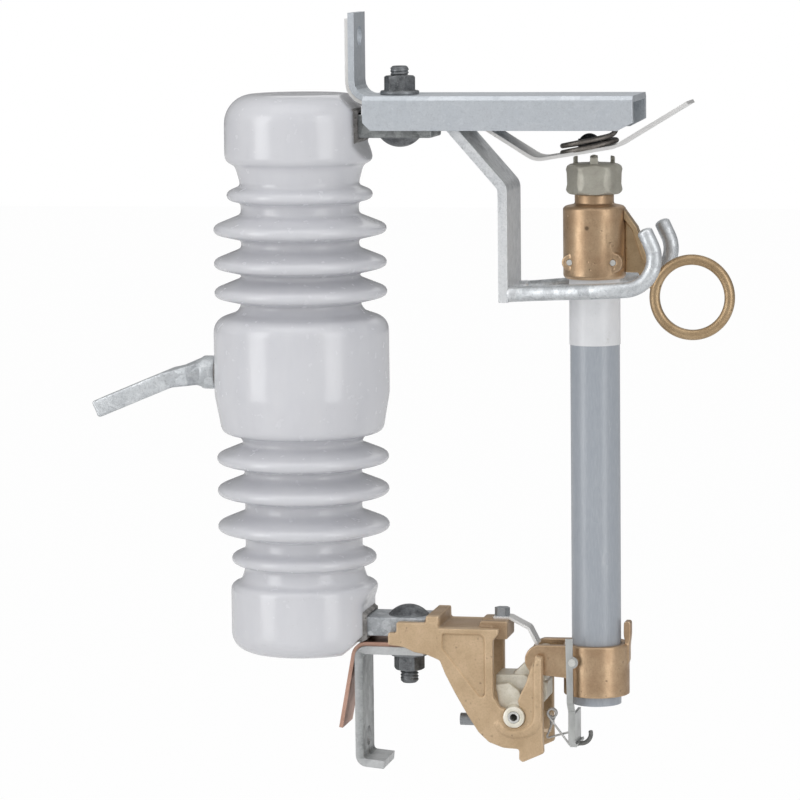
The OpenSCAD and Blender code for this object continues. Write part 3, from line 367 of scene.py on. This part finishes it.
MATERIALS = {
    "porcelain": porcelain(),
    "galvanised": galvanised("galvanised_dull", (0.44, 0.46, 0.48), (0.76, 0.79, 0.81)),
    "rough_galvanised": galvanised("galvanised_rough", (0.46, 0.48, 0.50), (0.84, 0.86, 0.88),
                                   spangle=3.0, grain=0.1),
    "channel": galvanised("galvanised_smooth", (0.42, 0.46, 0.50), (0.68, 0.72, 0.76),
                          spangle=7, rough=(0.34, 0.5), grain=0.025, tint=(0.64, 0.67, 0.71)),
    "bronze": bronze("bronze_blasted", (0.45, 0.32, 0.19), (0.60, 0.44, 0.28), 0.35,
                     (0.40, 0.55), inner=True),
    "bronze_dark": bronze("bronze_bright", (0.38, 0.25, 0.15), (0.58, 0.42, 0.27), 0.82,
                          (0.28, 0.44), dimple=DIMPLE),
    "bronze_ring": bronze("bronze_ring", (0.33, 0.225, 0.125), (0.50, 0.365, 0.22), 0.8,
                          (0.34, 0.46), wear_and_shade=0.0),
    "tinned": tinned_casting("tinned_casting", (0.90, 0.87, 0.78), (0.62, 0.58, 0.47)),
    "cap": tinned_casting("tinned_cap", (0.44, 0.43, 0.375), (0.31, 0.295, 0.25)),
    "leaf": rolled("tinned_strip", (0.66, 0.65, 0.63), (0.90, 0.89, 0.87), (20, 6, 20),
                   metallic=0.8),
    "stainless": rolled("stainless_strip", (0.36, 0.37, 0.36), (0.56, 0.57, 0.56), (1, 1, 9)),
    # painted shade: a darker copy of the galvanised zinc, for faces turned away from the light
    "terminal": galvanised("galvanised_shaded", (0.17, 0.18, 0.18), (0.42, 0.435, 0.435),
                           spangle=4.0, grain=0.08),
    "insert": galvanised("galvanised_cast", (0.30, 0.32, 0.34), (0.64, 0.66, 0.68), grain=0.1),
    "wire": dark_steel("spring_bright", (0.34, 0.34, 0.34), (0.52, 0.52, 0.51)),
    "copper": rolled("bare_copper", (0.26, 0.145, 0.10), (0.60, 0.38, 0.30), (1, 1, 9),
                     rough=(0.3, 0.5)),
    "spring": dark_steel("spring_wire", (0.07, 0.06, 0.05), (0.26, 0.24, 0.22)),
    # painted shade: near-black steel for the button inside the spring, which lies in shade
    "black": dark_steel("shade_black_steel", (0.015, 0.015, 0.016), (0.05, 0.05, 0.052)),
    "bolt": dark_steel(),
    "black_zinc": dark_steel("dark_strip", (0.07, 0.07, 0.07), (0.22, 0.22, 0.21)),
    "pin": dark_steel("pin_steel", (0.26, 0.26, 0.25), (0.50, 0.50, 0.48)),
    "grout": cement(),
    "tube": tube_varnish(),
    "sleeve": pale_band(),
}


# ---------------------------------------------------------------- mesh helpers
def add_mesh(name, verts, faces, mat, body, nodes=(), join=0.0):
    """A piece that rides a body. Points closer than join, in mm, become one."""
    mesh = bpy.data.meshes.new(name)
    mesh.from_pydata([tuple(v) for v in verts], [], faces)
    bm = bmesh.new()
    bm.from_mesh(mesh)
    if join:
        bmesh.ops.remove_doubles(bm, verts=bm.verts, dist=join * MM)
    bmesh.ops.recalc_face_normals(bm, faces=bm.faces)
    bm.to_mesh(mesh)
    bm.free()
    for face in mesh.polygons:
        face.use_smooth = True
    mesh.materials.append(MATERIALS[mat])
    obj = bpy.data.objects.new(name, mesh)
    bpy.context.scene.collection.objects.link(obj)
    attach(obj, body)
    if nodes:
        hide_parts(*nodes)
    return obj


def sharpen(obj, angle=35):
    """Smooth faces, with edges sharper than the angle kept crisp."""
    limit = math.radians(angle)
    bm = bmesh.new()
    bm.from_mesh(obj.data)
    for edge in bm.edges:
        edge.smooth = not (len(edge.link_faces) == 2 and edge.calc_face_angle(0) > limit)
    bm.to_mesh(obj.data)
    bm.free()
    return obj


def ring_faces(rings, sides, ends=True):
    """Quads between closed rings of points, and a face at each end."""
    faces = []
    for i in range(rings - 1):
        for j in range(sides):
            k = (j + 1) % sides
            faces.append((i * sides + j, i * sides + k, (i + 1) * sides + k, (i + 1) * sides + j))
    if ends:
        faces.append(tuple(range(sides)))
        faces.append(tuple((rings - 1) * sides + k for k in range(sides)))
    return faces


def turned(name, rings, place, mat, body, nodes=(), segments=96, angle=35):
    """Rings are (radius, height), each a number or a function of the angle.

    place(x, y, height) gives the point.
    """
    verts = []
    for radius, height in rings:
        for j in range(segments):
            a = 2 * math.pi * j / segments
            r = radius(a) if callable(radius) else radius
            h = height(a) if callable(height) else height
            verts.append(place(r * math.cos(a), r * math.sin(a), h))
    obj = add_mesh(name, verts, ring_faces(len(rings), segments, ends=False), mat, body,
                   nodes, join=0.002)
    return sharpen(obj, angle)


def swept(name, path, radius, mat, body, nodes=(), sides=24, ref=(0, 0, 1)):
    """A round rod along a path in mm, with domed ends."""
    points = [Vector(p) for p in path]
    rings = []
    n = len(points) - 1
    for i, p in enumerate(points):
        along = (points[min(i + 1, n)] - points[max(i - 1, 0)]).normalized()
        rings.append((p, along, 1.0))
    first, last = rings[0], rings[-1]
    caps = [(math.sin(t), math.cos(t)) for t in (0.15, 0.5, 0.9, 1.25)]
    rings = ([(first[0] - first[1] * radius * 0.5 * c, first[1], s) for s, c in caps]
             + rings
             + [(last[0] + last[1] * radius * 0.5 * c, last[1], s) for s, c in caps[::-1]])
    verts = []
    for p, along, scale in rings:
        across = along.cross(Vector(ref)).normalized()
        up = across.cross(along)
        r = radius * scale
        for k in range(sides):
            a = 2 * math.pi * k / sides
            q = p + r * (math.cos(a) * across + math.sin(a) * up)
            verts.append(at_mm(q.x, q.y, q.z))
    return add_mesh(name, verts, ring_faces(len(rings), sides), mat, body, nodes)


def dress(node, mat, bevel=0.35, segments=2, angle=28):
    """A CAD node keeps its solid, and gets its material and softened edges."""
    obj = NODES[node]
    obj.data.materials.clear()
    obj.data.materials.append(MATERIALS[mat])
    for face in obj.data.polygons:
        face.use_smooth = True
        face.material_index = 0
    if bevel:
        flat = obj.modifiers.new("planar", "DECIMATE")
        flat.decimate_type = "DISSOLVE"
        flat.angle_limit = math.radians(0.6)
        edge = obj.modifiers.new("edges", "BEVEL")
        edge.width = bevel * MM
        edge.segments = segments
        edge.limit_method = "ANGLE"
        edge.angle_limit = math.radians(angle)
        edge.use_clamp_overlap = True
        edge.harden_normals = True
    return obj


def cast(node, mat, voxel=0.5, rounds=5, rough=0.0):
    """A CAD node with every edge rounded over, as a casting's are."""
    obj = dress(node, mat, bevel=0)
    mesh = obj.modifiers.new("skin", "REMESH")
    mesh.mode = "VOXEL"
    mesh.voxel_size = voxel * MM
    mesh.use_smooth_shade = True
    soft = obj.modifiers.new("rounding", "SMOOTH")
    soft.factor = 0.5
    soft.iterations = rounds
    if rough:
        texture = bpy.data.textures.new(node + "_unevenness", "CLOUDS")
        texture.noise_scale = 0.006
        push = obj.modifiers.new("unevenness", "DISPLACE")
        push.texture = texture
        push.texture_coords = "LOCAL"
        push.strength = rough * MM
        push.mid_level = 0.7
    return obj


# ---------------------------------------------------------------- porcelain
def arc(cx, cz, r, a0, a1, n):
    """n + 1 points from angle a0 to a1, in degrees."""
    return [(cx + r * math.cos(math.radians(a0 + (a1 - a0) * i / n)),
             cz + r * math.sin(math.radians(a0 + (a1 - a0) * i / n))) for i in range(n + 1)]


CORE_R, BAND_R, END_R, NECK_R = 30.5, 45.5, 38.5, 33.0
TOP_Z, HALF_BAND, END_H = 145.0, 30.5, 36.0
SHED_R, SMALL_SHED_R = 45, 38
UP_STEPS = (12, 15.2, 17.6, 17.6)
DOWN_STEPS = (13.2, 16.9, 18.8, 17)
# The flat at each end: how far out it lies and how deep its corner is cut
TOP_FLAT = (32.3, 8.5)
LOW_FLAT = (34.0, 10.5)


def shed(z, r, tip=2.8, under=13, over=22):
    """A shed's outline at height z. Its faces slope by under and over, in degrees."""
    edge = arc(r - tip, z, tip, -90 + under, 90 - over, 14)
    low, high = edge[0], edge[-1]
    return ([(CORE_R, low[1] - (low[0] - CORE_R) * math.tan(math.radians(under)))] + edge
            + [(CORE_R, high[1] + (high[0] - CORE_R) * math.tan(math.radians(over)))])


def porcelain_outline():
    """Radius and height from the lower end to the top."""
    below = [sum(DOWN_STEPS[:i + 1]) for i in range(4)]
    above = [sum(UP_STEPS[:i + 1]) for i in range(4)]
    line = [(0.01, -TOP_Z)]
    line += arc(END_R - 10, 10 - TOP_Z, 10, -90, 0, 12)
    line += arc(END_R - 3, END_H - TOP_Z - 3, 3, 0, 90, 6)
    line += [(NECK_R, END_H - TOP_Z + 1)]
    line += shed(-HALF_BAND - below[3], SMALL_SHED_R)
    for i in (2, 1, 0):
        line += shed(-HALF_BAND - below[i], SHED_R)
    line += [(NECK_R, -HALF_BAND - 1.5)]
    line += arc(BAND_R - 6.5, -HALF_BAND + 3.5, 3.5, -80, 0, 6)
    line += [(BAND_R, -HALF_BAND / 3)]
    line += arc(BAND_R - 8, HALF_BAND - 8, 8, 0, 80, 10)
    line += [(NECK_R, HALF_BAND + 2)]
    for i in range(3):
        line += shed(HALF_BAND + above[i], SHED_R)
    line += shed(HALF_BAND + above[3], SMALL_SHED_R)
    line += [(NECK_R, TOP_Z - END_H - 1.5)]
    line += arc(END_R - 4, TOP_Z - END_H + 4, 4, -90, 0, 6)
    line += arc(END_R - 15, TOP_Z - 15, 15, 0, 90, 16)
    line += [(0.01, TOP_Z)]
    return line


def resampled(line, step):
    """The same line with its points evenly about one step apart."""
    lengths = [0.0]
    for a, b in zip(line, line[1:]):
        lengths.append(lengths[-1] + math.dist(a, b))
    count = int(lengths[-1] / step)
    out, k = [], 0
    for i in range(count + 1):
        at = lengths[-1] * i / count
        while k < len(line) - 2 and lengths[k + 1] < at:
            k += 1
        t = (at - lengths[k]) / max(1e-9, lengths[k + 1] - lengths[k])
        out.append((line[k][0] + t * (line[k + 1][0] - line[k][0]),
                    line[k][1] + t * (line[k + 1][1] - line[k][1])))
    return out


def softened(line, rounds):
    """The line with its corners rounded over, as the glaze does."""
    for _ in range(rounds):
        line = ([line[0]]
                + [((a[0] + 2 * b[0] + c[0]) / 4, (a[1] + 2 * b[1] + c[1]) / 4)
                   for a, b, c in zip(line, line[1:], line[2:])]
                + [line[-1]])
    return line


def flat_limit(z):
    """How far out the porcelain reaches on its right side at height z."""
    face, corner = TOP_FLAT if z > 0 else LOW_FLAT
    depth = TOP_Z - abs(z)
    if depth > END_H + 1:
        return 1000.0
    if depth > END_H - 10:
        return face + (END_R + 1 - face) * (depth - (END_H - 10)) / 11
    return face - max(0.0, corner - depth)


def build_insulator():
    """Turned, with a flat cut for each insert and the slight waves of a fired body."""
    line = softened(resampled(porcelain_outline(), 0.42), 16)
    line = resampled(line, 1.35)
    segments, blend, wave_depth = 132, 1.2, 0.12
    verts = []
    for r, z in line:
        for j in range(segments):
            a = 2 * math.pi * (j + 0.5) / segments
            x, y = r * math.cos(a), r * math.sin(a)
            limit = flat_limit(z)
            if x > limit - blend:
                h = min(1.0, (x - limit + blend) / (2 * blend))
                x = x - blend * h * h if x < limit + blend else limit
            wave = wave_depth * mnoise.noise(Vector((x, y, z)) / 16)
            verts.append(at_mm(x + wave * math.cos(a) - wave_depth, y + wave * math.sin(a), z))
    add_mesh("porcelain_body", verts, ring_faces(len(line), segments), "porcelain", "root",
             ["insulator"])


build_insulator()


# ---------------------------------------------------------------- bolts and nuts
def thread_rings(r, z0, z1, pitch=1.6, depth=0.85, per_turn=8):
    """Rings of a screw thread from z0 to z1, as functions of the angle."""
    rows = max(2, int(abs(z1 - z0) / pitch * per_turn))
    rings = []
    for i in range(rows + 1):
        z = z0 + (z1 - z0) * i / rows
        fade = min(1.0, 3 * i / rows, 3 * (rows - i) / rows + 0.25)

        def radius(a, z=z, fade=fade):
            t = (z / pitch - a / (2 * math.pi)) % 1.0
            wave = abs(2 * t - 1)
            return r - depth * fade * min(1.0, max(0.0, 1.35 * wave - 0.15))
        rings.append((radius, z))
    return rings


def hexagon(across_corners):
    """Its radius at an angle."""
    inner = across_corners / 2 * math.cos(math.pi / 6)

    def radius(a):
        t = a % (math.pi / 3) - math.pi / 6
        return inner / math.cos(t)
    return radius


NUT_D, NUT_H = 16.2, 9.6
WASHER_R, WASHER_T = 10.0, 2.0
HEAD_R, HEAD_H, SHANK_R = 10.5, 5.2, 4.75


def flange_nut(name, x, z0, up, nodes):
    """A hexagon nut with its washer, chamfered, with a plain chamfered bore at its mouth."""
    hexa = hexagon(NUT_D)
    flat = NUT_D / 2 * math.cos(math.pi / 6)

    def place(px, py, ph):
        return at_mm(x + px, py, z0 + up * ph)

    def crown(a):
        return NUT_H - max(0.0, hexa(a) - flat * 1.01) * 0.65
    rings = [(5.0, 0.0), (WASHER_R - 0.4, 0.0), (WASHER_R, 0.3), (WASHER_R, WASHER_T - 0.5),
             (WASHER_R - 0.5, WASHER_T), (lambda a: hexa(a) + 0.25, WASHER_T + 0.05),
             (hexa, WASHER_T + 0.5), (hexa, lambda a: crown(a) - 0.35),
             (lambda a: hexa(a) * 0.985, crown),
             (lambda a: min(hexa(a) * 0.95, flat * 0.97), NUT_H),
             (5.6, NUT_H), (4.9, NUT_H - 0.7), (4.9, NUT_H - 2.5)]
    return turned(name, rings, place, "bolt", "root", nodes, segments=144,
                  angle=24)


def carriage_bolt(name, x, z_head, up, length, nodes):
    """A domed head and a threaded shank that ends in a chamfer."""
    def place(px, py, ph):
        return at_mm(x + px, py, z_head + up * ph)
    sphere = (HEAD_R * HEAD_R + HEAD_H * HEAD_H) / (2 * HEAD_H)
    dome = []
    for i in range(15):
        r = HEAD_R * i / 14
        dome.append((max(r, 0.01), -HEAD_H + sphere - math.sqrt(sphere * sphere - r * r)))
    dome[-1] = (HEAD_R - 0.15, -0.45)
    rings = dome + [(HEAD_R, -0.2), (HEAD_R - 0.3, 0.0), (SHANK_R, 0.0),
                    (SHANK_R, length * 0.35)]
    rings += thread_rings(SHANK_R, length * 0.36, length - 1.2)
    rings += [(4.2, length - 0.7), (3.6, length - 0.1), (3.2, length), (0.01, length)]
    return turned(name, rings, place, "bolt", "root", nodes, segments=72, angle=50)


for end, up in (("upper", 1), ("lower", -1)):
    x = mid_x(end + "_bolt")
    z0, z1 = span_z(end + "_bolt")
    head = z0 + HEAD_H if up > 0 else z1 - HEAD_H
    carriage_bolt(end + "_carriage_bolt", x, head, up, z1 - z0 - HEAD_H, [end + "_bolt"])
    w0, w1 = span_z(end + "_washer")
    flange_nut(end + "_flange_nut", x, w0 if up > 0 else w1, up,
               [end + "_washer", end + "_nut"])


# ---------------------------------------------------------------- hooks and spring
TUBE_X = mid_x("fuse_tube")
HOOK_X, HOOK_Z, HOOK_R = 112.2, 43.5, 3.95


def hook_path(side):
    """Along the tube, outwards a little, then up round a bend to the tip."""
    root_y, tip_y = 20 - HOOK_R, 31
    bend_r, start, turn = 16.0, -86, 25
    cx, cz = TUBE_X + 19, HOOK_Z + 4 + bend_r

    def on(a):
        return cx + bend_r * math.cos(math.radians(a)), cz + bend_r * math.sin(math.radians(a))
    bx, bz = on(start)
    ex, ez = on(turn)
    flat = [(HOOK_X + (bx - HOOK_X) * i / 28, HOOK_Z + (bz - HOOK_Z) * i / 28)
            for i in range(28)]
    flat += [on(start + (turn - start) * i / 30) for i in range(31)]
    tip = 9 - 0.5 * HOOK_R
    flat.append((ex - tip * math.sin(math.radians(turn)), ez + tip * math.cos(math.radians(turn))))
    out = []
    for x, z in flat:
        u = min(1.0, (x - HOOK_X) / (bx - HOOK_X))
        out.append((x, side * (root_y + (tip_y - root_y) * eased(u)), z))
    return out


for side, node in ((-1, "hook_front"), (1, "hook_back")):
    swept("arc_" + node, hook_path(side), HOOK_R, "galvanised", "root", [node],
          sides=32, ref=(0, 1, 0))


LEAF_SLOPE = math.radians(9.4)
LEAF_HALF_T = 0.9
CROWN_DOME_R = 30
CROWN_TOP = span_z("fuse_cap")[1]
LEAF_GAP = 0.3
LEAF_MID = (TUBE_X - (CROWN_DOME_R + LEAF_HALF_T) * math.sin(LEAF_SLOPE),
            CROWN_TOP - CROWN_DOME_R * (1 - math.cos(LEAF_SLOPE)) + LEAF_GAP
            + LEAF_HALF_T * math.cos(LEAF_SLOPE))
WEB_Z = span_z("contact_spring")[1]
SPRING_R, SPRING_WIRE = 15, 1.3


def spring_path(turns=2.3, stacked=1.4, seated=1.8, pitch=3.4, per_turn=48):
    """The turns lie on the leaf, then the wire climbs to the channel's web."""
    coil_r = SPRING_R - SPRING_WIRE
    points = []
    for i in range(int(turns * per_turn) + 1):
        u = i / per_turn
        a = math.pi + 2 * math.pi * u
        x = TUBE_X - 2.3 + coil_r * math.cos(a)
        seat = (LEAF_MID[1] + (x - LEAF_MID[0]) * math.tan(LEAF_SLOPE)
                + (LEAF_HALF_T + SPRING_WIRE) / math.cos(LEAF_SLOPE) + 0.05)
        climb = eased(max(0.0, min(1.0, (u - stacked) / (seated - stacked))))
        points.append((x, coil_r * math.sin(a),
                       (1 - climb) * (seat + pitch * u) + climb * (WEB_Z - SPRING_WIRE)))
    return points


swept("coil_spring", spring_path(), SPRING_WIRE, "spring", "root",
      ["contact_spring"], sides=16)


# ---------------------------------------------------------------- flare and welds
def lofted(name, sections, mat, body, sides=40):
    """Upright ovals along x, each a centre, a half width in y and a half height."""
    verts = []
    for centre, wide, tall in sections:
        for k in range(sides):
            a = 2 * math.pi * k / sides
            verts.append(at_mm(centre[0], centre[1] + wide * math.cos(a),
                               centre[2] + tall * math.sin(a)))
    return add_mesh(name, verts, ring_faces(len(sections), sides), mat, body)


def strap_flare():
    """The shank's round end, spread flat where it runs into the strap."""
    sections = []
    for i in range(11):
        t = i / 10
        top = 8.3 - 6.0 * t
        bottom = -8.2 + 1.6 * min(1.0, 3 * t)
        sections.append(((-BAND_R - 6.6 - 14.0 * t, 0, (top + bottom) / 2),
                         8.3 + 3.5 * t, (top - bottom) / 2))
    lofted("strap_flare", sections, "galvanised", "root")


def weld(name, x, y, z, size):
    """A lump of weld metal that the zinc has run over."""
    sections = []
    for i in range(9):
        a = math.pi * (i + 0.5) / 9
        ripple = 1 + 0.08 * math.sin(5 * a + y)
        sections.append(((x - size * math.cos(a), y, z), size * math.sin(a) * ripple,
                         size * 0.9 * math.sin(a) * ripple))
    lofted(name, sections, "rough_galvanised", "root", sides=24)


WELD_Y, WELD_R = 16.2, 4.7
strap_flare()
for side, node in ((-1, "hook_front"), (1, "hook_back")):
    near = (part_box(node)[0].x - AXIS_X) / MM
    weld("weld_" + node, near + 2.2, side * WELD_Y, HOOK_Z + 0.4, WELD_R)


# ---------------------------------------------------------------- the ejector's curl and spring
def joined(*parts):
    """Paths end to end, without the points they share."""
    out = []
    for part in parts:
        for point in part:
            if not out or math.dist(out[-1], point) > 0.05:
                out.append(point)
    return out


def straight(a, b, n=10):
    """n + 1 points from a to b."""
    return [tuple(p + (q - p) * i / n for p, q in zip(a, b)) for i in range(n + 1)]


CURL_R, CURL_WIRE = 5.2, 1.15
COIL_R, COIL_WIRE = 2.2, 0.55
LEG_Y = -12.1


def ejector_details():
    """The rod that curls up from the foot, and the torsion spring beside the lever."""
    foot_x = mid_x("link_ejector") + 0.4
    foot_z = span_z("link_ejector")[0]
    y = -6.0
    curl = straight((foot_x - 1.6, y, foot_z + 0.2), (foot_x + 2.2, y, foot_z + 0.6), 6)
    curl += [(foot_x + 2.2 + CURL_R * math.sin(math.radians(a)), y,
              foot_z + 0.6 + CURL_R - CURL_R * math.cos(math.radians(a)))
             for a in range(8, 105, 8)]
    swept("ejector_curl", curl, CURL_WIRE, "black_zinc", "ejector", sides=16,
          ref=(0, 1, 0))
    # one leg of the spring ends on the lever's foot, the other is bent back to its middle
    centre, start, pitch = (foot_x - 12.0, foot_z + 17.0), 212, 1.05
    coil = [(centre[0] + COIL_R * math.cos(math.radians(a)),
             LEG_Y + (start - a) / 360 * pitch,
             centre[1] + COIL_R * math.sin(math.radians(a))) for a in range(start, -781, -12)]
    bend = (foot_x - 14.9, -9.6, foot_z + 4.7)
    path = joined(straight((foot_x - 2.6, LEG_Y, foot_z + 0.8), coil[0]), coil,
                  straight(coil[-1], bend), [(bend[0] + 0.3, -9.8, bend[2] - 0.7)],
                  straight((bend[0] + 1.2, -9.9, bend[2] - 0.7),
                           (foot_x - 1.6, -10.6, foot_z + 7.7)))
    swept("ejector_spring", path, COIL_WIRE, "wire", "ejector", sides=12,
          ref=(0, 1, 0))


ejector_details()


# ---------------------------------------------------------------- finishes of the CAD nodes
dress("top_channel", "channel", 1.2, 5)
dress("hook_plate", "rough_galvanised", 0.8, 4)
dress("lower_terminal", "terminal", 0.6, 3)
dress("upper_contact", "leaf", 0.3)
dress("copper_strap", "copper", 0.25)
dress("hinge_contact", "leaf", 0.2)
dress("hinge_contact_screw", "bolt", 0.4)
dress("link_ejector", "stainless", 0.2)
dress("fuse_tube", "tube", 0.5)
dress("tube_sleeve", "sleeve", 0.12)
dress("pivot_bushes", "pin", 0.2)
dress("toggle_pin", "pin", 0.3)
dress("link_stud", "bolt", 0.4)
dress("link_washer", "bronze", 0.2)
dress("link_nut", "bronze", 0.4)
dress("ejector_pin", "pin", 0.3)
dress("ferrule_pins", "pin", 0.3)
# painted shade: the button inside the spring made near black
dress("spring_button", "black", 0)
dress("bracket_grout", "grout", 0.3)
cast("upper_grout", "grout", 0.7, 6, 0.5)
cast("lower_grout", "grout", 0.7, 6, 0.5)
cast("upper_insert", "terminal", 0.6, 8)
cast("lower_insert", "insert", 0.6, 8)
cast("mounting_bracket", "galvanised", 0.8, 10)
cast("hinge_casting", "bronze", 0.55, 6)
cast("lower_ferrule", "bronze_dark", 0.5, 6)
cast("upper_ferrule", "bronze_dark", 0.45, 4)
cast("pull_ring", "bronze_ring", 0.35, 8)
cast("trunnion", "tinned", 0.5, 6)
cast("fuse_cap", "cap", 0.35, 4)

# ---------------------------------------------------------------- camera
scene = bpy.context.scene
scene.view_settings.view_transform = "Standard"


CAMERA_TURNS = (-11.765, -6.859, -0.624)    # yaw, pitch and roll in degrees
CAMERA_AT = (476.26, -2038.55, 237.17)
CAMERA_LENS = 182.5695
CAMERA_SENSOR = 36


def set_camera():
    yaw, pitch, roll = (math.radians(a) for a in CAMERA_TURNS)
    ahead = Vector((math.sin(yaw) * math.cos(pitch), math.cos(yaw) * math.cos(pitch),
                    math.sin(pitch)))
    right = Vector((math.cos(yaw), -math.sin(yaw), 0))
    up = right.cross(ahead)
    right, up = (math.cos(roll) * right + math.sin(roll) * up,
                 math.cos(roll) * up - math.sin(roll) * right)
    data = bpy.data.cameras.new("camera")
    data.sensor_width = CAMERA_SENSOR
    data.lens = CAMERA_LENS
    camera = bpy.data.objects.new("camera", data)
    scene.collection.objects.link(camera)
    turn = Matrix((right, up, -ahead)).transposed().to_4x4()
    camera.matrix_world = Matrix.Translation(at_mm(*CAMERA_AT)) @ turn
    scene.camera = camera


set_camera()


# ---------------------------------------------------------------- floor and light
def rays(tree, *names):
    """The sum of some Light Path outputs, at most 1."""
    path = tree.nodes.new("ShaderNodeLightPath")
    total = path.outputs[names[0]]
    for name in names[1:]:
        add = tree.nodes.new("ShaderNodeMath")
        add.operation = "ADD"
        add.use_clamp = True
        tree.links.new(total, add.inputs[0])
        tree.links.new(path.outputs[name], add.inputs[1])
        total = add.outputs[0]
    return total


def ranged(tree, value, *ends):
    """The value taken from the first two ends to the other two."""
    made = tree.nodes.new("ShaderNodeMapRange")
    for key, end in zip(("From Min", "From Max", "To Min", "To Max"), ends):
        made.inputs[key].default_value = end
    tree.links.new(value, made.inputs["Value"])
    return made.outputs["Result"]


def set_world():
    """White to the camera. The light itself comes from above and in front, less from behind."""
    world = bpy.data.worlds.new("studio")
    scene.world = world
    world.use_nodes = True
    tree = world.node_tree
    light = tree.nodes["Background"]
    light.inputs["Color"].default_value = (1, 1, 1, 1)
    place = tree.nodes.new("ShaderNodeTexCoord")
    split = tree.nodes.new("ShaderNodeSeparateXYZ")
    tree.links.new(place.outputs["Generated"], split.inputs[0])
    both = tree.nodes.new("ShaderNodeMath")
    both.operation = "MULTIPLY"
    tree.links.new(ranged(tree, split.outputs["Z"], -0.25, 0.8, 0.34, 0.86), both.inputs[0])
    tree.links.new(ranged(tree, split.outputs["Y"], -0.3, 0.7, 1.0, 0.45), both.inputs[1])
    tree.links.new(both.outputs[0], light.inputs["Strength"])
    seen = tree.nodes.new("ShaderNodeBackground")
    seen.inputs["Color"].default_value = (1, 1, 1, 1)
    seen.inputs["Strength"].default_value = 1.0
    choose = tree.nodes.new("ShaderNodeMixShader")
    tree.links.new(rays(tree, "Is Camera Ray", "Is Transmission Ray"), choose.inputs[0])
    tree.links.new(light.outputs[0], choose.inputs[1])
    tree.links.new(seen.outputs[0], choose.inputs[2])
    tree.links.new(choose.outputs[0], tree.nodes["World Output"].inputs[0])


FLOOR_DROP = 0.30    # in metres: the holder hangs clear of the floor when it has dropped out
FLOOR_HALF = 8.0
FLOOR_GLOW = 0.97


def set_floor():
    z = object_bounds()[0][2] - FLOOR_DROP
    mesh = bpy.data.meshes.new("floor")
    s = FLOOR_HALF
    mesh.from_pydata([(-s, -s, z), (s, -s, z), (s, s, z), (-s, s, z)], [], [(0, 1, 2, 3)])
    floor = bpy.data.objects.new("floor", mesh)
    scene.collection.objects.link(floor)
    mat = bpy.data.materials.new("floor")
    mat.use_nodes = True
    tree = mat.node_tree
    bsdf = tree.nodes["Principled BSDF"]
    bsdf.inputs["Base Color"].default_value = (0.9, 0.9, 0.9, 1)
    bsdf.inputs["Roughness"].default_value = 0.9
    glow = tree.nodes.new("ShaderNodeEmission")
    glow.inputs["Color"].default_value = (1, 1, 1, 1)
    glow.inputs["Strength"].default_value = 1.0
    share = tree.nodes.new("ShaderNodeMath")
    share.operation = "MULTIPLY"
    share.inputs[1].default_value = FLOOR_GLOW
    tree.links.new(rays(tree, "Is Camera Ray", "Is Transmission Ray"), share.inputs[0])
    choose = tree.nodes.new("ShaderNodeMixShader")
    tree.links.new(share.outputs[0], choose.inputs[0])
    tree.links.new(bsdf.outputs[0], choose.inputs[1])
    tree.links.new(glow.outputs[0], choose.inputs[2])
    tree.links.new(choose.outputs[0], tree.nodes["Material Output"].inputs[0])
    mesh.materials.append(mat)


LAMP_TARGET = (0.1, 0, 0)


def lamp(name, at, power, wide, tall):
    """A softbox that faces the part."""
    data = bpy.data.lights.new(name, "AREA")
    data.shape = "RECTANGLE"
    data.size = wide
    data.size_y = tall
    data.energy = power
    obj = bpy.data.objects.new(name, data)
    obj.location = at
    obj.rotation_euler = (Vector(LAMP_TARGET) - Vector(at)).to_track_quat("-Z", "Y").to_euler()
    scene.collection.objects.link(obj)


set_world()
set_floor()
lamp("left", (-1.3, -1.3, 0.35), 13, 0.85, 1.9)
lamp("right", (1.5, -1.0, 0.3), 8.5, 0.7, 1.9)
lamp("top", (0.1, -0.6, 1.9), 6.5, 2.0, 1.5)
lamp("back", (0.3, 1.7, 1.1), 2.5, 1.6, 0.8)
